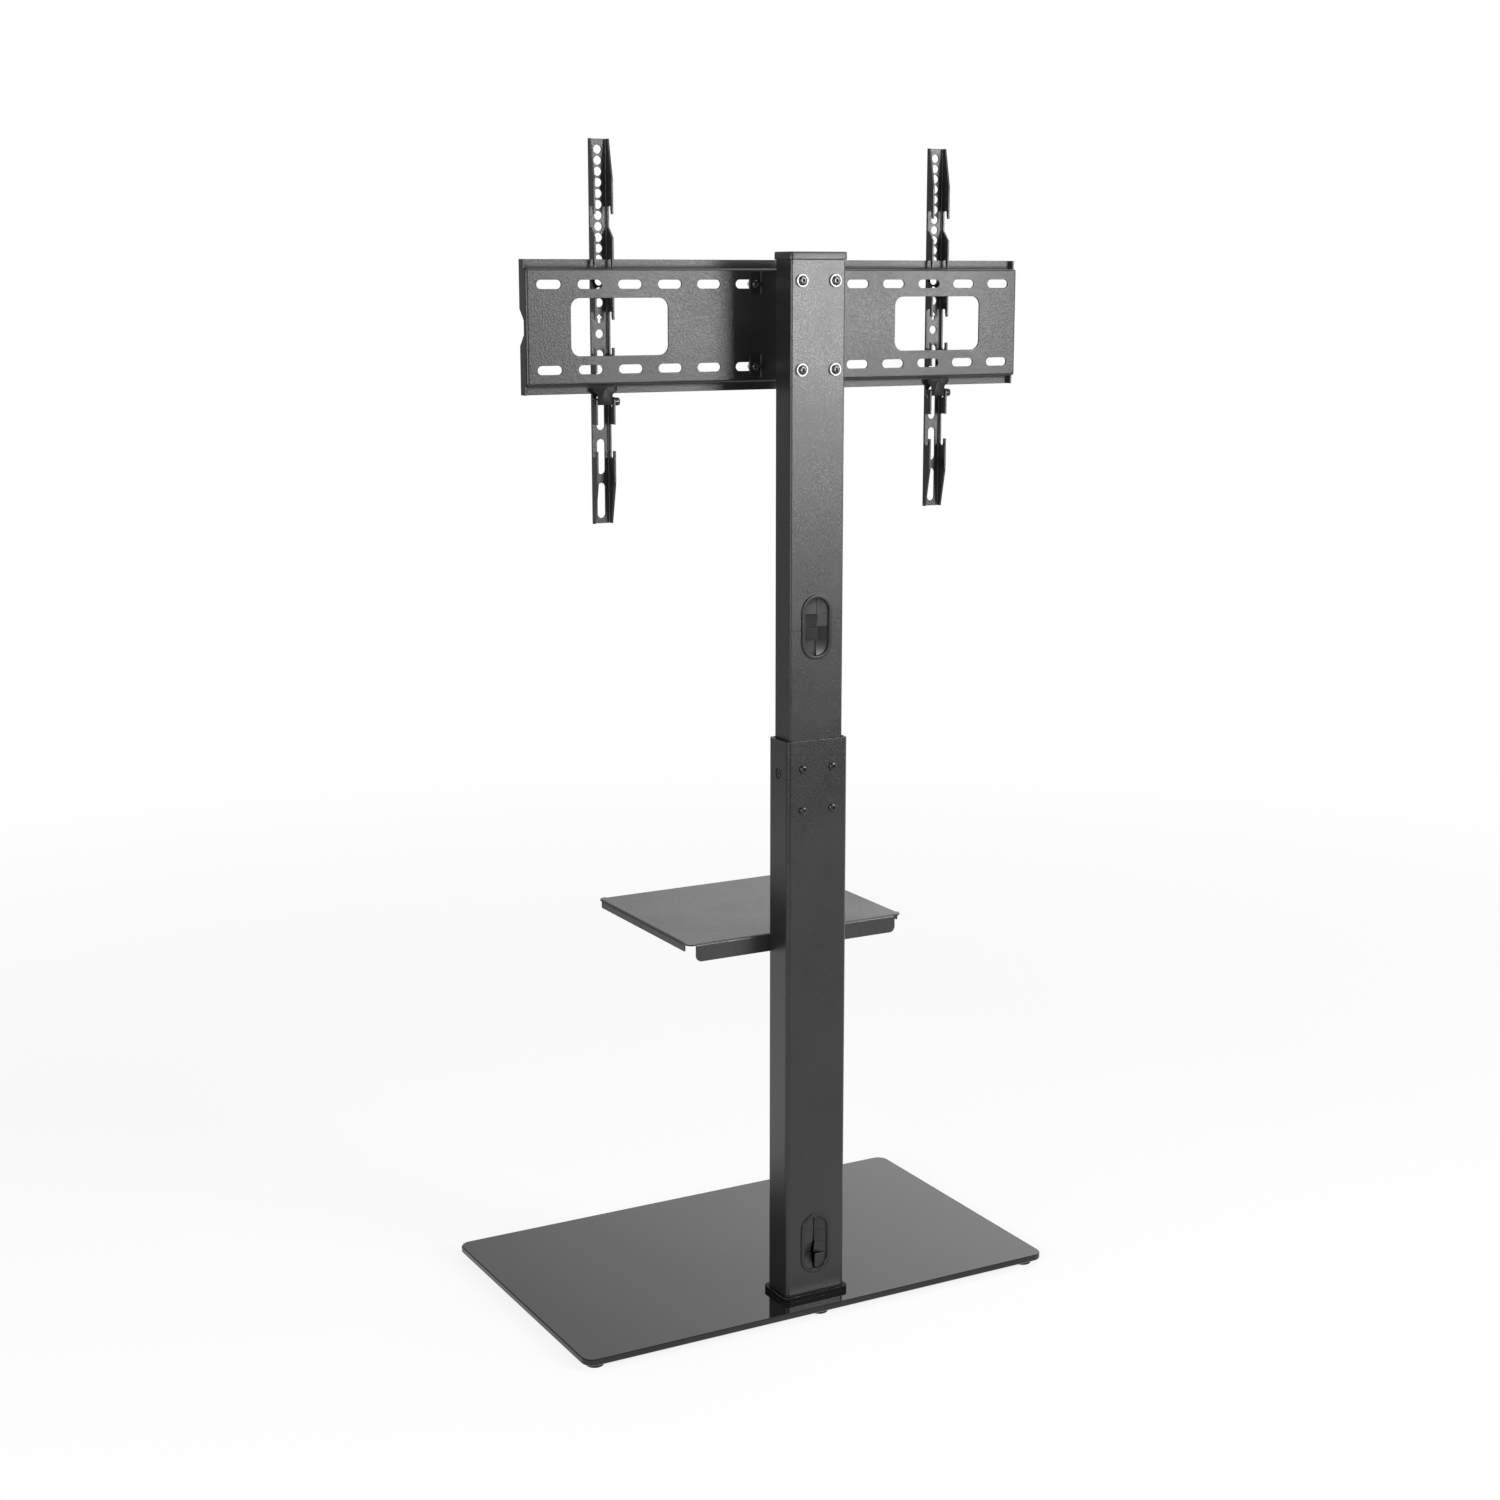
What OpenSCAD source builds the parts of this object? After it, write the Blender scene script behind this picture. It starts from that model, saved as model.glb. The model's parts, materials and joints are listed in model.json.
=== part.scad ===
// Free-standing stand for a flat screen: a glass base on rubber feet, a two-part
// column whose upper tube slides in the lower one, a small shelf, and a slotted
// steel plate on a bracket, on which two hooked arms hang and slide sideways.
// Millimetres. The origin is on the floor under the centre of the glass.
// The screen side is -Y, the cable side is +Y, and +Z is up.

/* [Glass base] */
// Width of the glass
glass_w = 650; // [560:10:800]
// Depth of the glass
glass_d = 394; // [360:2:500]
// Thickness of the glass
glass_t = 8; // [6:1:10]
// Radius of the glass corners
glass_r = 15; // [8:1:40]
// Height of the rubber feet
foot_h = 8; // [8:1:15]
// Diameter of the rubber feet
foot_d = 22; // [18:1:30]

/* [Column] */
// Distance of the column's centre behind the centre of the glass
col_y = 144; // [120:1:150]
// Width of the lower tube
low_w = 82; // [76:1:90]
// Depth of the lower tube
low_d = 46; // [44:1:50]
// Height of the lower tube's open end above the floor
low_top = 715.5; // [690:0.5:740]
// Wall of both tubes
tube_t = 2; // [1.5:0.25:2.5]
// Gap between the tubes, taken up by the guides
tube_gap = 3; // [2.5:0.25:4]
// Height of the upper tube's top above the floor
up_top = 1269.5; // [1260:0.5:1300]
// Height of the upper tube's hidden end above the floor
up_bottom = 565; // [563:1:580]
// Height of the top cap
cap_h = 9; // [6:1:14]

/* [Shelf] */
// Height of the shelf's upper face above the floor
shelf_z = 473.5; // [440:0.5:500]
// Width of the shelf
shelf_w = 300; // [280:2:360]
// Depth of the shelf in front of the column
shelf_d = 250; // [200:1:300]
// Height of the folded edges of the shelf
shelf_edge_h = 10; // [8:0.5:14]
// Height of the shelf's rear flange
shelf_back_h = 22; // [20:1:30]

/* [Mounting plate] */
// Height of the plate's centre above the floor
plate_z = 1195.2; // [1190:0.1:1200]
// Width of the plate
plate_w = 656; // [640:2:700]
// Height of the plate over its lips
plate_h = 149; // [146:1:156]
// Sheet thickness of the plate and the arms
sheet_t = 2; // [1.8:0.1:2.2]
// Distance from the column's front face to the plate's rear face
plate_gap = 41.5; // [38:0.5:46]
// Depth of the step between the plate and its lips
lip_step = 13; // [12.5:0.5:14]
// Height of the lips above and below the steps
lip_h = 10; // [10:0.5:12]
// Pitch of the slots along each row
slot_pitch = 50; // [46:1:52]
// Number of slots in each row
slot_n = 13; // [9:2:13]
// Distance between the two rows of slots
row_gap = 94; // [90:1:98]

/* [Arms] */
// Place of the left arm along the plate
arm_left_x = 230; // [80:1:300]
// Place of the right arm along the plate
arm_right_x = -219; // [-300:1:-80]
// Length of the arms
arm_l = 428; // [420:1:436]
// Width of the arms
arm_w = 24; // [23:0.5:28]
// Depth of the arms
arm_d = 16.5; // [16:0.5:18]
// Pitch of the three hooks, which set three hanging heights
hook_pitch = 58; // [56:1:60]
// Diameter of the screw holes
hole_d = 10; // [8:0.5:10]
// Pitch of the screw holes
hole_pitch = 12; // [11.5:0.5:12.5]
// Number of holes in the row above the arrow
hole_n = 15; // [12:1:15]
// Length of the four screw slots
slot_l = 40; // [34:1:42]

/* [Hidden] */
$fn = 64;
steel_black = "#3b3b3d";
plastic_black = "#4b4b4d";
rubber_black = "#262626";
zinc = "#b9bcc0";
eps = 0.01;

// Base stack, from the floor up
gasket_t = 1;
under_t = 3;
under_w = 150;
under_d = 66;
under_y = col_y - 14;
glass_top = foot_h + glass_t;
flange_t = 4;
flange_over = 2;
flange_top = glass_top + gasket_t + flange_t;
base_bolt_r = 4;
base_bolt_x = 27;
base_bolt_y = 12;
base_bolt_head_h = 2.6;
base_bolt_head_r = 7.5;
foot_inset = 20;
collar_t = 1;
collar_h = 6;
collar_over = 4.5;

// Column sections
low_in_w = low_w - 2 * tube_t;
low_in_d = low_d - 2 * tube_t;
up_w = low_in_w - 2 * tube_gap;
up_d = low_in_d - 2 * tube_gap;
low_r = 5;
up_r = 2.5;
low_front = col_y - low_d / 2;
low_back = col_y + low_d / 2;
up_front = col_y - up_d / 2;
up_back = col_y + up_d / 2;
slide_gap = 0.25;

// Guide sleeve, pressure plate and clamp screws at the joint of the tubes
sleeve_drop = 1.5;
sleeve_h = 20;
sleeve_leg_h = 54;
sleeve_leg_d = 24;
button_r = 6.7;
button_z = low_top - 40.5;
side_screw_r = 4;
clamp_x = 20;
clamp_zs = [low_top - 33.5, low_top - 83.5];
clamp_screw_r = 3;
clamp_head_r = 5;
clamp_head_h = 3;
pressure_t = 2.4;
pressure_w = 60;
pressure_h = 74;

// Cable grommets in the rear of both tubes
grommet_w = 41;
grommet_l = 77;
grommet_rim = 4.5;
grommet_proud = 1.6;
grommet_depth = 5;
grommet_fit = 0.1;
flap_t = 1.2;
flap_slit = 0.4;
flap_row = 15;
up_grommet_z = 849;
low_grommet_z = 85.5;

// Shelf details
shelf_r = 9;
shelf_bend_r = 3;
shelf_back_inset = 11;
shelf_back_r = 7;
shelf_screw_x = 22;
shelf_screw_z = shelf_z - 12;
shelf_screw_r = 3;
rivet_r = 4.5;

// Plate details
plate_back = up_front - plate_gap;
plate_front = plate_back - sheet_t;
lip_back = plate_back - lip_step;
lip_front = lip_back - sheet_t;
plate_hi = plate_z + plate_h / 2;
plate_lo = plate_z - plate_h / 2;
bend_r = 3;
bend_in = bend_r - sheet_t;
end_flange_d = 18.2;
end_cut_d = 6.5;
lip_end_gap = 1.4;
slot_w = 10;
slot_len = 30;
window_w = 121.5;
window_h = 64;
window_x = 213;
window_r = 11;
notch_mouth = 41;
notch_floor = 16;
notch_d = 11;

// Bracket between the plate and the column
bracket_t = 2.5;
bracket_w = 66;
bracket_h = 121;
bracket_z = plate_z + 1;
bracket_bend = 3.5;
ear_w = 14.5;
ear_h = 26;
col_bolt_x = 22;
col_bolt_z = 50;
m6_r = 3;
m6_hole_r = 3.3;
plate_bolt_x = 40;

// Arm section and outline. The hooks' slits end on the upper lip's edge.
arm_back = plate_front - 2.2;
arm_front = arm_back - arm_d;
arm_mid_z = plate_hi - 82.5;
arm_hi = arm_mid_z + arm_l / 2;
arm_lo = arm_mid_z - arm_l / 2;
rest_gap = 0.1;
hook_top = plate_hi + rest_gap;
recess_y = lip_front - 0.3;
prong_t = 4.1;
prong_l = 9;
prong_taper = 1.2;
slit_corner = 0.6;
recess_l = 20;
recess_chamfer = 6;
low_prong_z = hook_top - 155.9;
low_slit_l = 8.7;
low_recess_l = 30;
taper_l = 46;
taper_end_d = 7;
first_hole = 11.4;
arrow_z = arm_mid_z + 17;
slot_z1 = arm_mid_z - 38;
slot_step = 50;

// Lock clip and its cross bolt. The bolt lies in the upturned slits of the arm.
lock_bolt_r = 2.5;
lock_y = recess_y + 4.3;
lock_drop = 2.4;
lock_z = low_prong_z - lock_drop;
lock_run = 0.06;
clip_t = 1.8;
clip_back = arm_back - 1.1;
clip_w = arm_w - 2 * sheet_t - 1.6;
clip_head_w = 30;
clip_top = lock_z + 17.2;
lock_head_r = 4.75;
lock_head_h = 4;
lock_washer_t = 3.4;

// Rounded rectangle with its centre at the origin
module rounded(w, d, r) {
    square([w - 2 * r, d], center = true);
    square([w, d - 2 * r], center = true);
    for (sx = [-1, 1], sy = [-1, 1]) {
        translate([sx * (w / 2 - r), sy * (d / 2 - r)]) circle(r);
    }
}

// Slot with round ends, long along its second axis
module obround(w, l) {
    square([w, l - w], center = true);
    for (s = [-1, 1]) {
        translate([0, s * (l - w) / 2]) circle(d = w);
    }
}

// Quarter of a bend, in the quadrant that qx and qy name
module bend(outer, inner, qx, qy) {
    intersection() {
        difference() {
            circle(outer);
            circle(inner);
        }
        translate([qx > 0 ? 0 : -outer, qy > 0 ? 0 : -outer]) square(outer);
    }
}

// Outline drawn in X and Z, as a plate from y0 - t to y0
module plate_xz(y0, t) {
    translate([0, y0, 0]) rotate([90, 0, 0]) linear_extrude(t) children();
}

// Outline drawn in Y and Z, as a bar from x0 to x0 + w
module bar_yz(x0, w) {
    translate([x0, 0, 0]) rotate([90, 0, 90]) linear_extrude(w) children();
}

// Round bar along Y, from y0 to y0 + l
module rod_y(x, y0, z, r, l) {
    translate([x, y0, z]) rotate([-90, 0, 0]) cylinder(r = r, h = l);
}

// Round bar along X, from x0 to x0 + l
module rod_x(x0, y, z, r, l) {
    translate([x0, y, z]) rotate([0, 90, 0]) cylinder(r = r, h = l);
}

// Hexagon nut along Y with its bore
module nut_y(x, y0, z, flats, bore_r, l) {
    difference() {
        translate([x, y0, z]) rotate([-90, 0, 0]) cylinder(d = flats / cos(30), h = l, $fn = 6);
        rod_y(x, y0 - 1, z, bore_r, l + 2);
    }
}

// Cross recess in a screw head, driven along Y
module cross_y(x, y0, z, span, l) {
    translate([x - span / 2, y0, z - 0.6]) cube([span, l, 1.2]);
    translate([x - 0.6, y0, z - span / 2]) cube([1.2, l, span]);
}

// Places of the four base bolts, from below
module at_base_bolts() {
    for (sx = [-1, 1], sy = [-1, 1]) {
        translate([sx * base_bolt_x, col_y + sy * base_bolt_y, 0]) children();
    }
}

module glass_base() {
    color("#2c2e30") difference() {
        translate([0, 0, foot_h]) linear_extrude(glass_t) rounded(glass_w, glass_d, glass_r);
        at_base_bolts() translate([0, 0, foot_h - 1]) cylinder(r = base_bolt_r + 1.5, h = glass_t + 2);
    }
}

// One foot: a turned rubber button with a rounded lower edge
module foot() {
    r = foot_d / 2;
    rotate_extrude() union() {
        translate([0, 1.5]) square([r, foot_h - 1.5]);
        square([r - 1.5, foot_h]);
        translate([r - 1.5, 1.5]) circle(1.5);
    }
}

module rubber_feet() {
    color(rubber_black) for (x = [-1, 0, 1], y = [-1, 1]) {
        translate([x * (glass_w / 2 - foot_inset), y * (glass_d / 2 - foot_inset), 0]) foot();
    }
}

module under_plate() {
    color(steel_black) difference() {
        translate([0, under_y, foot_h - gasket_t - under_t]) linear_extrude(under_t)
            rounded(under_w, under_d, 8);
        at_base_bolts() translate([0, 0, -1]) cylinder(r = base_bolt_r + 0.3, h = foot_h + 2);
    }
}

module lower_gasket() {
    color(rubber_black) difference() {
        translate([0, under_y, foot_h - gasket_t]) linear_extrude(gasket_t)
            rounded(under_w, under_d, 8);
        at_base_bolts() translate([0, 0, -1]) cylinder(r = base_bolt_r + 0.3, h = foot_h + 2);
    }
}

module upper_gasket() {
    color(rubber_black) difference() {
        translate([0, col_y, glass_top]) linear_extrude(gasket_t)
            rounded(low_w + 2 * flange_over, low_d + 2 * flange_over, low_r);
        at_base_bolts() translate([0, 0, glass_top - 1]) cylinder(r = base_bolt_r + 0.3, h = 4);
    }
}

// Low-headed socket bolts, put in from below
module base_bolts() {
    head_z = foot_h - gasket_t - under_t - base_bolt_head_h;
    color(zinc) at_base_bolts() difference() {
        union() {
            translate([0, 0, head_z]) cylinder(r = base_bolt_head_r, h = base_bolt_head_h);
            translate([0, 0, head_z]) cylinder(r = base_bolt_r, h = flange_top + 6 - head_z);
        }
        translate([0, 0, head_z - 1]) cylinder(d = 5.8, h = 3, $fn = 6);
    }
}

// Trim that hides the welded foot of the lower tube
module base_collar() {
    hollow_z = glass_top + collar_h - collar_t;
    color(plastic_black) translate([0, col_y, 0]) difference() {
        translate([0, 0, glass_top]) linear_extrude(collar_h)
            rounded(low_w + 2 * collar_over, low_d + 2 * collar_over, low_r + 2);
        translate([0, 0, glass_top - 1]) linear_extrude(hollow_z - glass_top + 1)
            rounded(low_w + 2 * flange_over + 0.3, low_d + 2 * flange_over + 0.3, low_r);
        translate([0, 0, glass_top]) linear_extrude(collar_h + 1)
            rounded(low_w + 0.3, low_d + 0.3, low_r + 0.15);
    }
}

// Lower tube with its welded foot plate and weld nuts
module lower_column() {
    color(steel_black) difference() {
        union() {
            translate([0, col_y, flange_top - flange_t]) linear_extrude(low_top - flange_top + flange_t)
                rounded(low_w, low_d, low_r);
            translate([0, col_y, flange_top - flange_t]) linear_extrude(flange_t)
                rounded(low_w + 2 * flange_over, low_d + 2 * flange_over, low_r);
        }
        difference() {
            translate([0, col_y, flange_top]) linear_extrude(low_top - flange_top + 1)
                rounded(low_in_w, low_in_d, low_r - tube_t);
            at_base_bolts() translate([0, 0, flange_top - 1]) cylinder(d = 13 / cos(30), h = 7.5, $fn = 6);
        }
        at_base_bolts() translate([0, 0, glass_top]) cylinder(r = base_bolt_r, h = 20);
        plate_xz(low_back + 1, tube_t + 2) translate([0, low_grommet_z])
            obround(grommet_w - 5, grommet_l - 5);
        for (x = [-1, 1], z = clamp_zs) {
            rod_y(x * clamp_x, low_back - tube_t - 1, z, clamp_screw_r, tube_t + 2);
        }
        for (x = [-1, 1]) {
            rod_y(x * shelf_screw_x, low_front - 1, shelf_screw_z, rivet_r, tube_t + 2);
        }
        rod_x(-low_w, col_y, button_z, button_r + 0.15, 2 * low_w);
    }
}

// Plastic sleeve in the mouth of the lower tube. Its two round buttons snap into
// the tube's sides, and its legs leave the rear free for the pressure plate.
module guide_sleeve() {
    top = low_top - sleeve_drop;
    leg_z = top - sleeve_leg_h;
    leg_t = tube_gap - slide_gap;
    color(plastic_black) difference() {
        union() {
            translate([0, col_y, top - sleeve_h]) linear_extrude(sleeve_h) difference() {
                rounded(low_in_w, low_in_d, low_r - tube_t);
                rounded(up_w + 2 * slide_gap, up_d + 2 * slide_gap, up_r);
            }
            for (s = [-1, 1]) {
                translate([s > 0 ? low_in_w / 2 - leg_t : -low_in_w / 2, col_y - sleeve_leg_d / 2, leg_z])
                    cube([leg_t, sleeve_leg_d, sleeve_leg_h - sleeve_h + eps]);
                rod_x(s > 0 ? low_in_w / 2 - 1 : -low_w / 2 + 1, col_y, button_z, button_r, tube_t);
            }
        }
        rod_x(up_w / 2 - 1, col_y, button_z, side_screw_r, low_w / 2);
    }
}

// Blackened set screw in the button on the +X side, which takes up the tubes' play
module side_screw() {
    x0 = up_w / 2 + 0.1;
    x1 = low_w / 2 - 0.4;
    color("#2a2a2c") difference() {
        rod_x(x0, col_y, button_z, side_screw_r, x1 - x0);
        translate([x1 - 2, col_y, button_z]) rotate([0, 90, 0]) cylinder(d = 3.46, h = 3, $fn = 6);
    }
}

// Steel plate that the four clamp screws press on the upper tube
module pressure_plate() {
    z0 = (clamp_zs[0] + clamp_zs[1]) / 2;
    color(zinc) translate([-pressure_w / 2, up_back + 0.3, z0 - pressure_h / 2])
        cube([pressure_w, pressure_t, pressure_h]);
}

module clamp_screws() {
    tip = up_back + 0.3 + pressure_t;
    color("#1d1d1e") for (x = [-1, 1], z = clamp_zs) {
        difference() {
            union() {
                rod_y(x * clamp_x, tip, z, clamp_screw_r, low_back - tip + 1);
                translate([x * clamp_x, low_back, z]) rotate([-90, 0, 0]) rotate_extrude() union() {
                    square([clamp_head_r, clamp_head_h - 1.5]);
                    square([clamp_head_r - 1.5, clamp_head_h]);
                    translate([clamp_head_r - 1.5, clamp_head_h - 1.5]) circle(1.5);
                }
            }
            cross_y(x * clamp_x, low_back + clamp_head_h - 1.8, z, 4.6, 3);
        }
    }
}

// Frame of a cable grommet, seated on a tube's rear face at y0
module grommet_frame(y0, z) {
    color(plastic_black) translate([0, 0, z]) difference() {
        union() {
            plate_xz(y0 + grommet_proud, grommet_proud) obround(grommet_w, grommet_l);
            plate_xz(y0 + eps, grommet_depth) obround(grommet_w - 5 - 2 * grommet_fit, grommet_l - 5 - 2 * grommet_fit);
        }
        plate_xz(y0 + grommet_proud + 1, grommet_depth + grommet_proud + 2)
            obround(grommet_w - 2 * grommet_rim, grommet_l - 2 * grommet_rim);
    }
}

// Rubber flaps inside a grommet frame: two columns of four, parted by slits
module grommet_flaps(y0, z) {
    w = grommet_w - 2 * grommet_rim;
    l = grommet_l - 2 * grommet_rim;
    color(rubber_black) translate([0, 0, z]) difference() {
        plate_xz(y0 + 0.4, flap_t) obround(w, l);
        plate_xz(y0 + 1, flap_t + 2) union() {
            square([flap_slit, l - 5], center = true);
            for (row = [-1, 0, 1]) {
                translate([0, row * flap_row]) square([w - 4, flap_slit], center = true);
            }
        }
    }
}

// One-piece shelf: a top with folded edges and a deeper rear flange
module shelf() {
    y_back = low_front;
    y_front = y_back - shelf_d;
    mid_y = (y_back + y_front) / 2;
    back_w = shelf_w - 2 * shelf_back_inset;
    r = shelf_bend_r;
    t = sheet_t;
    edge_l = shelf_d - 2 * shelf_r - 4;
    front_l = shelf_w - 2 * shelf_r - 4;
    color(steel_black) difference() {
        union() {
            difference() {
                translate([0, mid_y, shelf_z - t]) linear_extrude(t) rounded(shelf_w, shelf_d, shelf_r);
                translate([-back_w / 2, y_back - r, shelf_z - 9]) cube([back_w, r + 1, 10]);
                for (s = [-1, 1]) {
                    translate([s > 0 ? shelf_w / 2 - r : -shelf_w / 2 - 1, mid_y - edge_l / 2, shelf_z - 9])
                        cube([r + 1, edge_l, 10]);
                }
                translate([-front_l / 2, y_front - 1, shelf_z - 9]) cube([front_l, r + 1, 10]);
            }
            // rear flange
            bar_yz(-back_w / 2, back_w) translate([y_back - r, shelf_z - r]) bend(r, r - t, 1, 1);
            plate_xz(y_back, t) intersection() {
                translate([0, shelf_z - shelf_back_h / 2]) rounded(back_w, shelf_back_h, shelf_back_r);
                translate([-back_w, 0]) square([2 * back_w, shelf_z - r]);
            }
            plate_xz(y_back, t) for (s = [-1, 1]) {
                translate([s * (back_w / 2 - shelf_back_r / 2), shelf_z - r - shelf_back_r / 2])
                    square(shelf_back_r, center = true);
            }
            // side edges
            for (s = [-1, 1]) {
                translate([0, mid_y + edge_l / 2, 0]) rotate([90, 0, 0]) linear_extrude(edge_l) union() {
                    translate([s * (shelf_w / 2 - r), shelf_z - r]) bend(r, r - t, s, 1);
                    translate([s > 0 ? shelf_w / 2 - t : -shelf_w / 2, shelf_z - shelf_edge_h])
                        square([t, shelf_edge_h - r]);
                }
            }
            // front edge
            bar_yz(-front_l / 2, front_l) union() {
                translate([y_front + r, shelf_z - r]) bend(r, r - t, -1, 1);
                translate([y_front, shelf_z - shelf_edge_h]) square([t, shelf_edge_h - r]);
            }
        }
        for (x = [-1, 1]) {
            rod_y(x * shelf_screw_x, y_back - t - 1, shelf_screw_z, shelf_screw_r + 0.3, t + 2);
        }
        // small relief slits halfway along the side edges
        translate([-shelf_w, mid_y - 0.6, shelf_z - shelf_edge_h - 1]) cube([2 * shelf_w, 1.2, shelf_edge_h - r]);
    }
}

module shelf_screws() {
    head_y = low_front - sheet_t;
    color("#1d1d1e") for (x = [-1, 1]) {
        difference() {
            union() {
                rod_y(x * shelf_screw_x, head_y - 3, shelf_screw_z, 5.5, 3);
                rod_y(x * shelf_screw_x, head_y - 1, shelf_screw_z, shelf_screw_r, 12);
            }
            translate([x * shelf_screw_x, head_y - 4, shelf_screw_z]) rotate([-90, 0, 0])
                cylinder(d = 4.6, h = 3, $fn = 6);
        }
    }
}

module shelf_rivet_nuts() {
    color(zinc) for (x = [-1, 1]) {
        difference() {
            union() {
                rod_y(x * shelf_screw_x, low_front, shelf_screw_z, rivet_r, 9);
                rod_y(x * shelf_screw_x, low_front + tube_t, shelf_screw_z, rivet_r + 1.8, 3);
            }
            rod_y(x * shelf_screw_x, low_front - 1, shelf_screw_z, shelf_screw_r, 11);
        }
    }
}

module upper_column() {
    color(steel_black) difference() {
        translate([0, col_y, up_bottom]) linear_extrude(up_top - up_bottom) difference() {
            rounded(up_w, up_d, up_r);
            rounded(up_w - 2 * tube_t, up_d - 2 * tube_t, up_r - tube_t);
        }
        plate_xz(up_back + 1, tube_t + 2) translate([0, up_grommet_z])
            obround(grommet_w - 5, grommet_l - 5);
        for (x = [-1, 1], s = [-1, 1]) {
            rod_y(x * col_bolt_x, up_front - 1, bracket_z + s * col_bolt_z, m6_hole_r, up_d + 2);
        }
    }
}

// Plastic shoe on the hidden end of the upper tube, open for the cables
module glide_shoe() {
    flange_h = 10;
    plug_h = 18;
    color(plastic_black) translate([0, col_y, up_bottom]) difference() {
        union() {
            translate([0, 0, -flange_h]) linear_extrude(flange_h)
                rounded(low_in_w - 2 * slide_gap, low_in_d - 2 * slide_gap, low_r - tube_t);
            linear_extrude(plug_h) rounded(up_w - 2 * tube_t, up_d - 2 * tube_t, up_r - tube_t);
        }
        translate([0, 0, -flange_h - 1]) linear_extrude(flange_h + plug_h + 2)
            rounded(up_w - 2 * tube_t - 5, up_d - 2 * tube_t - 5, 3);
    }
}

// Push-in cap with a chamfered top and a hollow plug
module top_cap() {
    over = 2;
    cap_r = up_r + over - 1;
    wall = 2;
    color(plastic_black) translate([0, col_y, up_top]) union() {
        linear_extrude(cap_h - 1) rounded(up_w + 2 * over, up_d + 2 * over, cap_r);
        linear_extrude(cap_h) rounded(up_w + 2 * over - 1.6, up_d + 2 * over - 1.6, cap_r - 0.8);
        translate([0, 0, -16]) linear_extrude(16 + eps) difference() {
            rounded(up_w - 2 * tube_t, up_d - 2 * tube_t, up_r - tube_t);
            rounded(up_w - 2 * tube_t - 2 * wall, up_d - 2 * tube_t - 2 * wall, 1);
        }
    }
}

// Hat-shaped bracket: four ears on the plate, its back on the column
module mount_bracket() {
    z0 = bracket_z - bracket_h / 2;
    r = bracket_bend;
    t = bracket_t;
    half = bracket_w / 2;
    color(steel_black) difference() {
        translate([0, 0, z0]) linear_extrude(bracket_h) union() {
            translate([-half + r, up_front - t]) square([bracket_w - 2 * r, t]);
            for (s = [-1, 1]) {
                translate([s * (half - r), up_front - r]) bend(r, r - t, s, 1);
                translate([s > 0 ? half - t : -half, plate_back + r]) square([t, plate_gap - 2 * r]);
                translate([s * (half - t + r), plate_back + r]) bend(r, r - t, -s, -1);
                translate([s > 0 ? half - t + r : -half - ear_w, plate_back])
                    square([ear_w + t - r, t]);
            }
        }
        // the ears are cut back between the top pair and the bottom pair
        for (s = [-1, 1]) {
            translate([s > 0 ? half : -half - 30, plate_back - 1, z0 + ear_h])
                cube([30, r + 6, bracket_h - 2 * ear_h]);
        }
        // rounded ear corners
        for (sx = [-1, 1], sz = [-1, 1]) {
            translate([sx * (half + ear_w), 0, bracket_z + sz * bracket_h / 2]) ear_corner(-sx, -sz);
            translate([sx * (half + ear_w), 0, bracket_z + sz * (bracket_h / 2 - ear_h)]) ear_corner(-sx, sz);
            rod_y(sx * plate_bolt_x, plate_back - 1, plate_z + sz * row_gap / 2, m6_hole_r, t + 2);
            rod_y(sx * col_bolt_x, up_front - t - 1, bracket_z + sz * col_bolt_z, m6_hole_r, t + 2);
        }
    }
}

// Cutter that rounds one corner of an ear
module ear_corner(dx, dz) {
    r = 4;
    plate_xz(plate_back + bracket_t + 1, bracket_t + 2) difference() {
        square(2 * r, center = true);
        translate([dx * r, dz * r]) circle(r);
    }
}

module column_bolts() {
    color("#2a2a2c") for (x = [-1, 1], s = [-1, 1]) {
        z = bracket_z + s * col_bolt_z;
        difference() {
            union() {
                rod_y(x * col_bolt_x, up_front - 10, z, m6_r, up_d + 12);
                rod_y(x * col_bolt_x, up_back + 1, z, 5, 3.4);
            }
            translate([x * col_bolt_x, up_back + 2.2, z]) rotate([-90, 0, 0]) cylinder(d = 5.7, h = 4, $fn = 6);
        }
    }
}

// Chromed cup washers, turned with a rounded rim around a sunk seat
module cup_washers() {
    color("#e4e6e8") for (x = [-1, 1], s = [-1, 1]) {
        translate([x * col_bolt_x, up_back, bracket_z + s * col_bolt_z]) rotate([-90, 0, 0]) rotate_extrude() union() {
            translate([m6_hole_r, 0]) square([6 - m6_hole_r, 1]);
            translate([5.6, 0]) square([2.1, 1.6]);
            translate([6.65, 1.6]) circle(1.05, $fn = 24);
        }
    }
}

module column_nuts() {
    color(zinc) for (x = [-1, 1], s = [-1, 1]) {
        nut_y(x * col_bolt_x, up_front - bracket_t - 5, bracket_z + s * col_bolt_z, 10, m6_r, 5);
    }
}

// Half section of the plate in Y and Z, from its centre line to its upper lip
module plate_half() {
    step_top = plate_h / 2 - lip_h;
    translate([plate_front, 0]) square([sheet_t, step_top - bend_r]);
    translate([plate_back - bend_r, step_top - bend_r]) bend(bend_r, bend_in, 1, 1);
    translate([lip_front + bend_r, step_top - sheet_t]) square([lip_step + sheet_t - 2 * bend_r, sheet_t]);
    translate([lip_front + bend_r, step_top - sheet_t + bend_r]) bend(bend_r, bend_in, -1, -1);
    translate([lip_front, step_top - sheet_t + bend_r]) square([sheet_t, lip_h + sheet_t - bend_r]);
}

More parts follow.
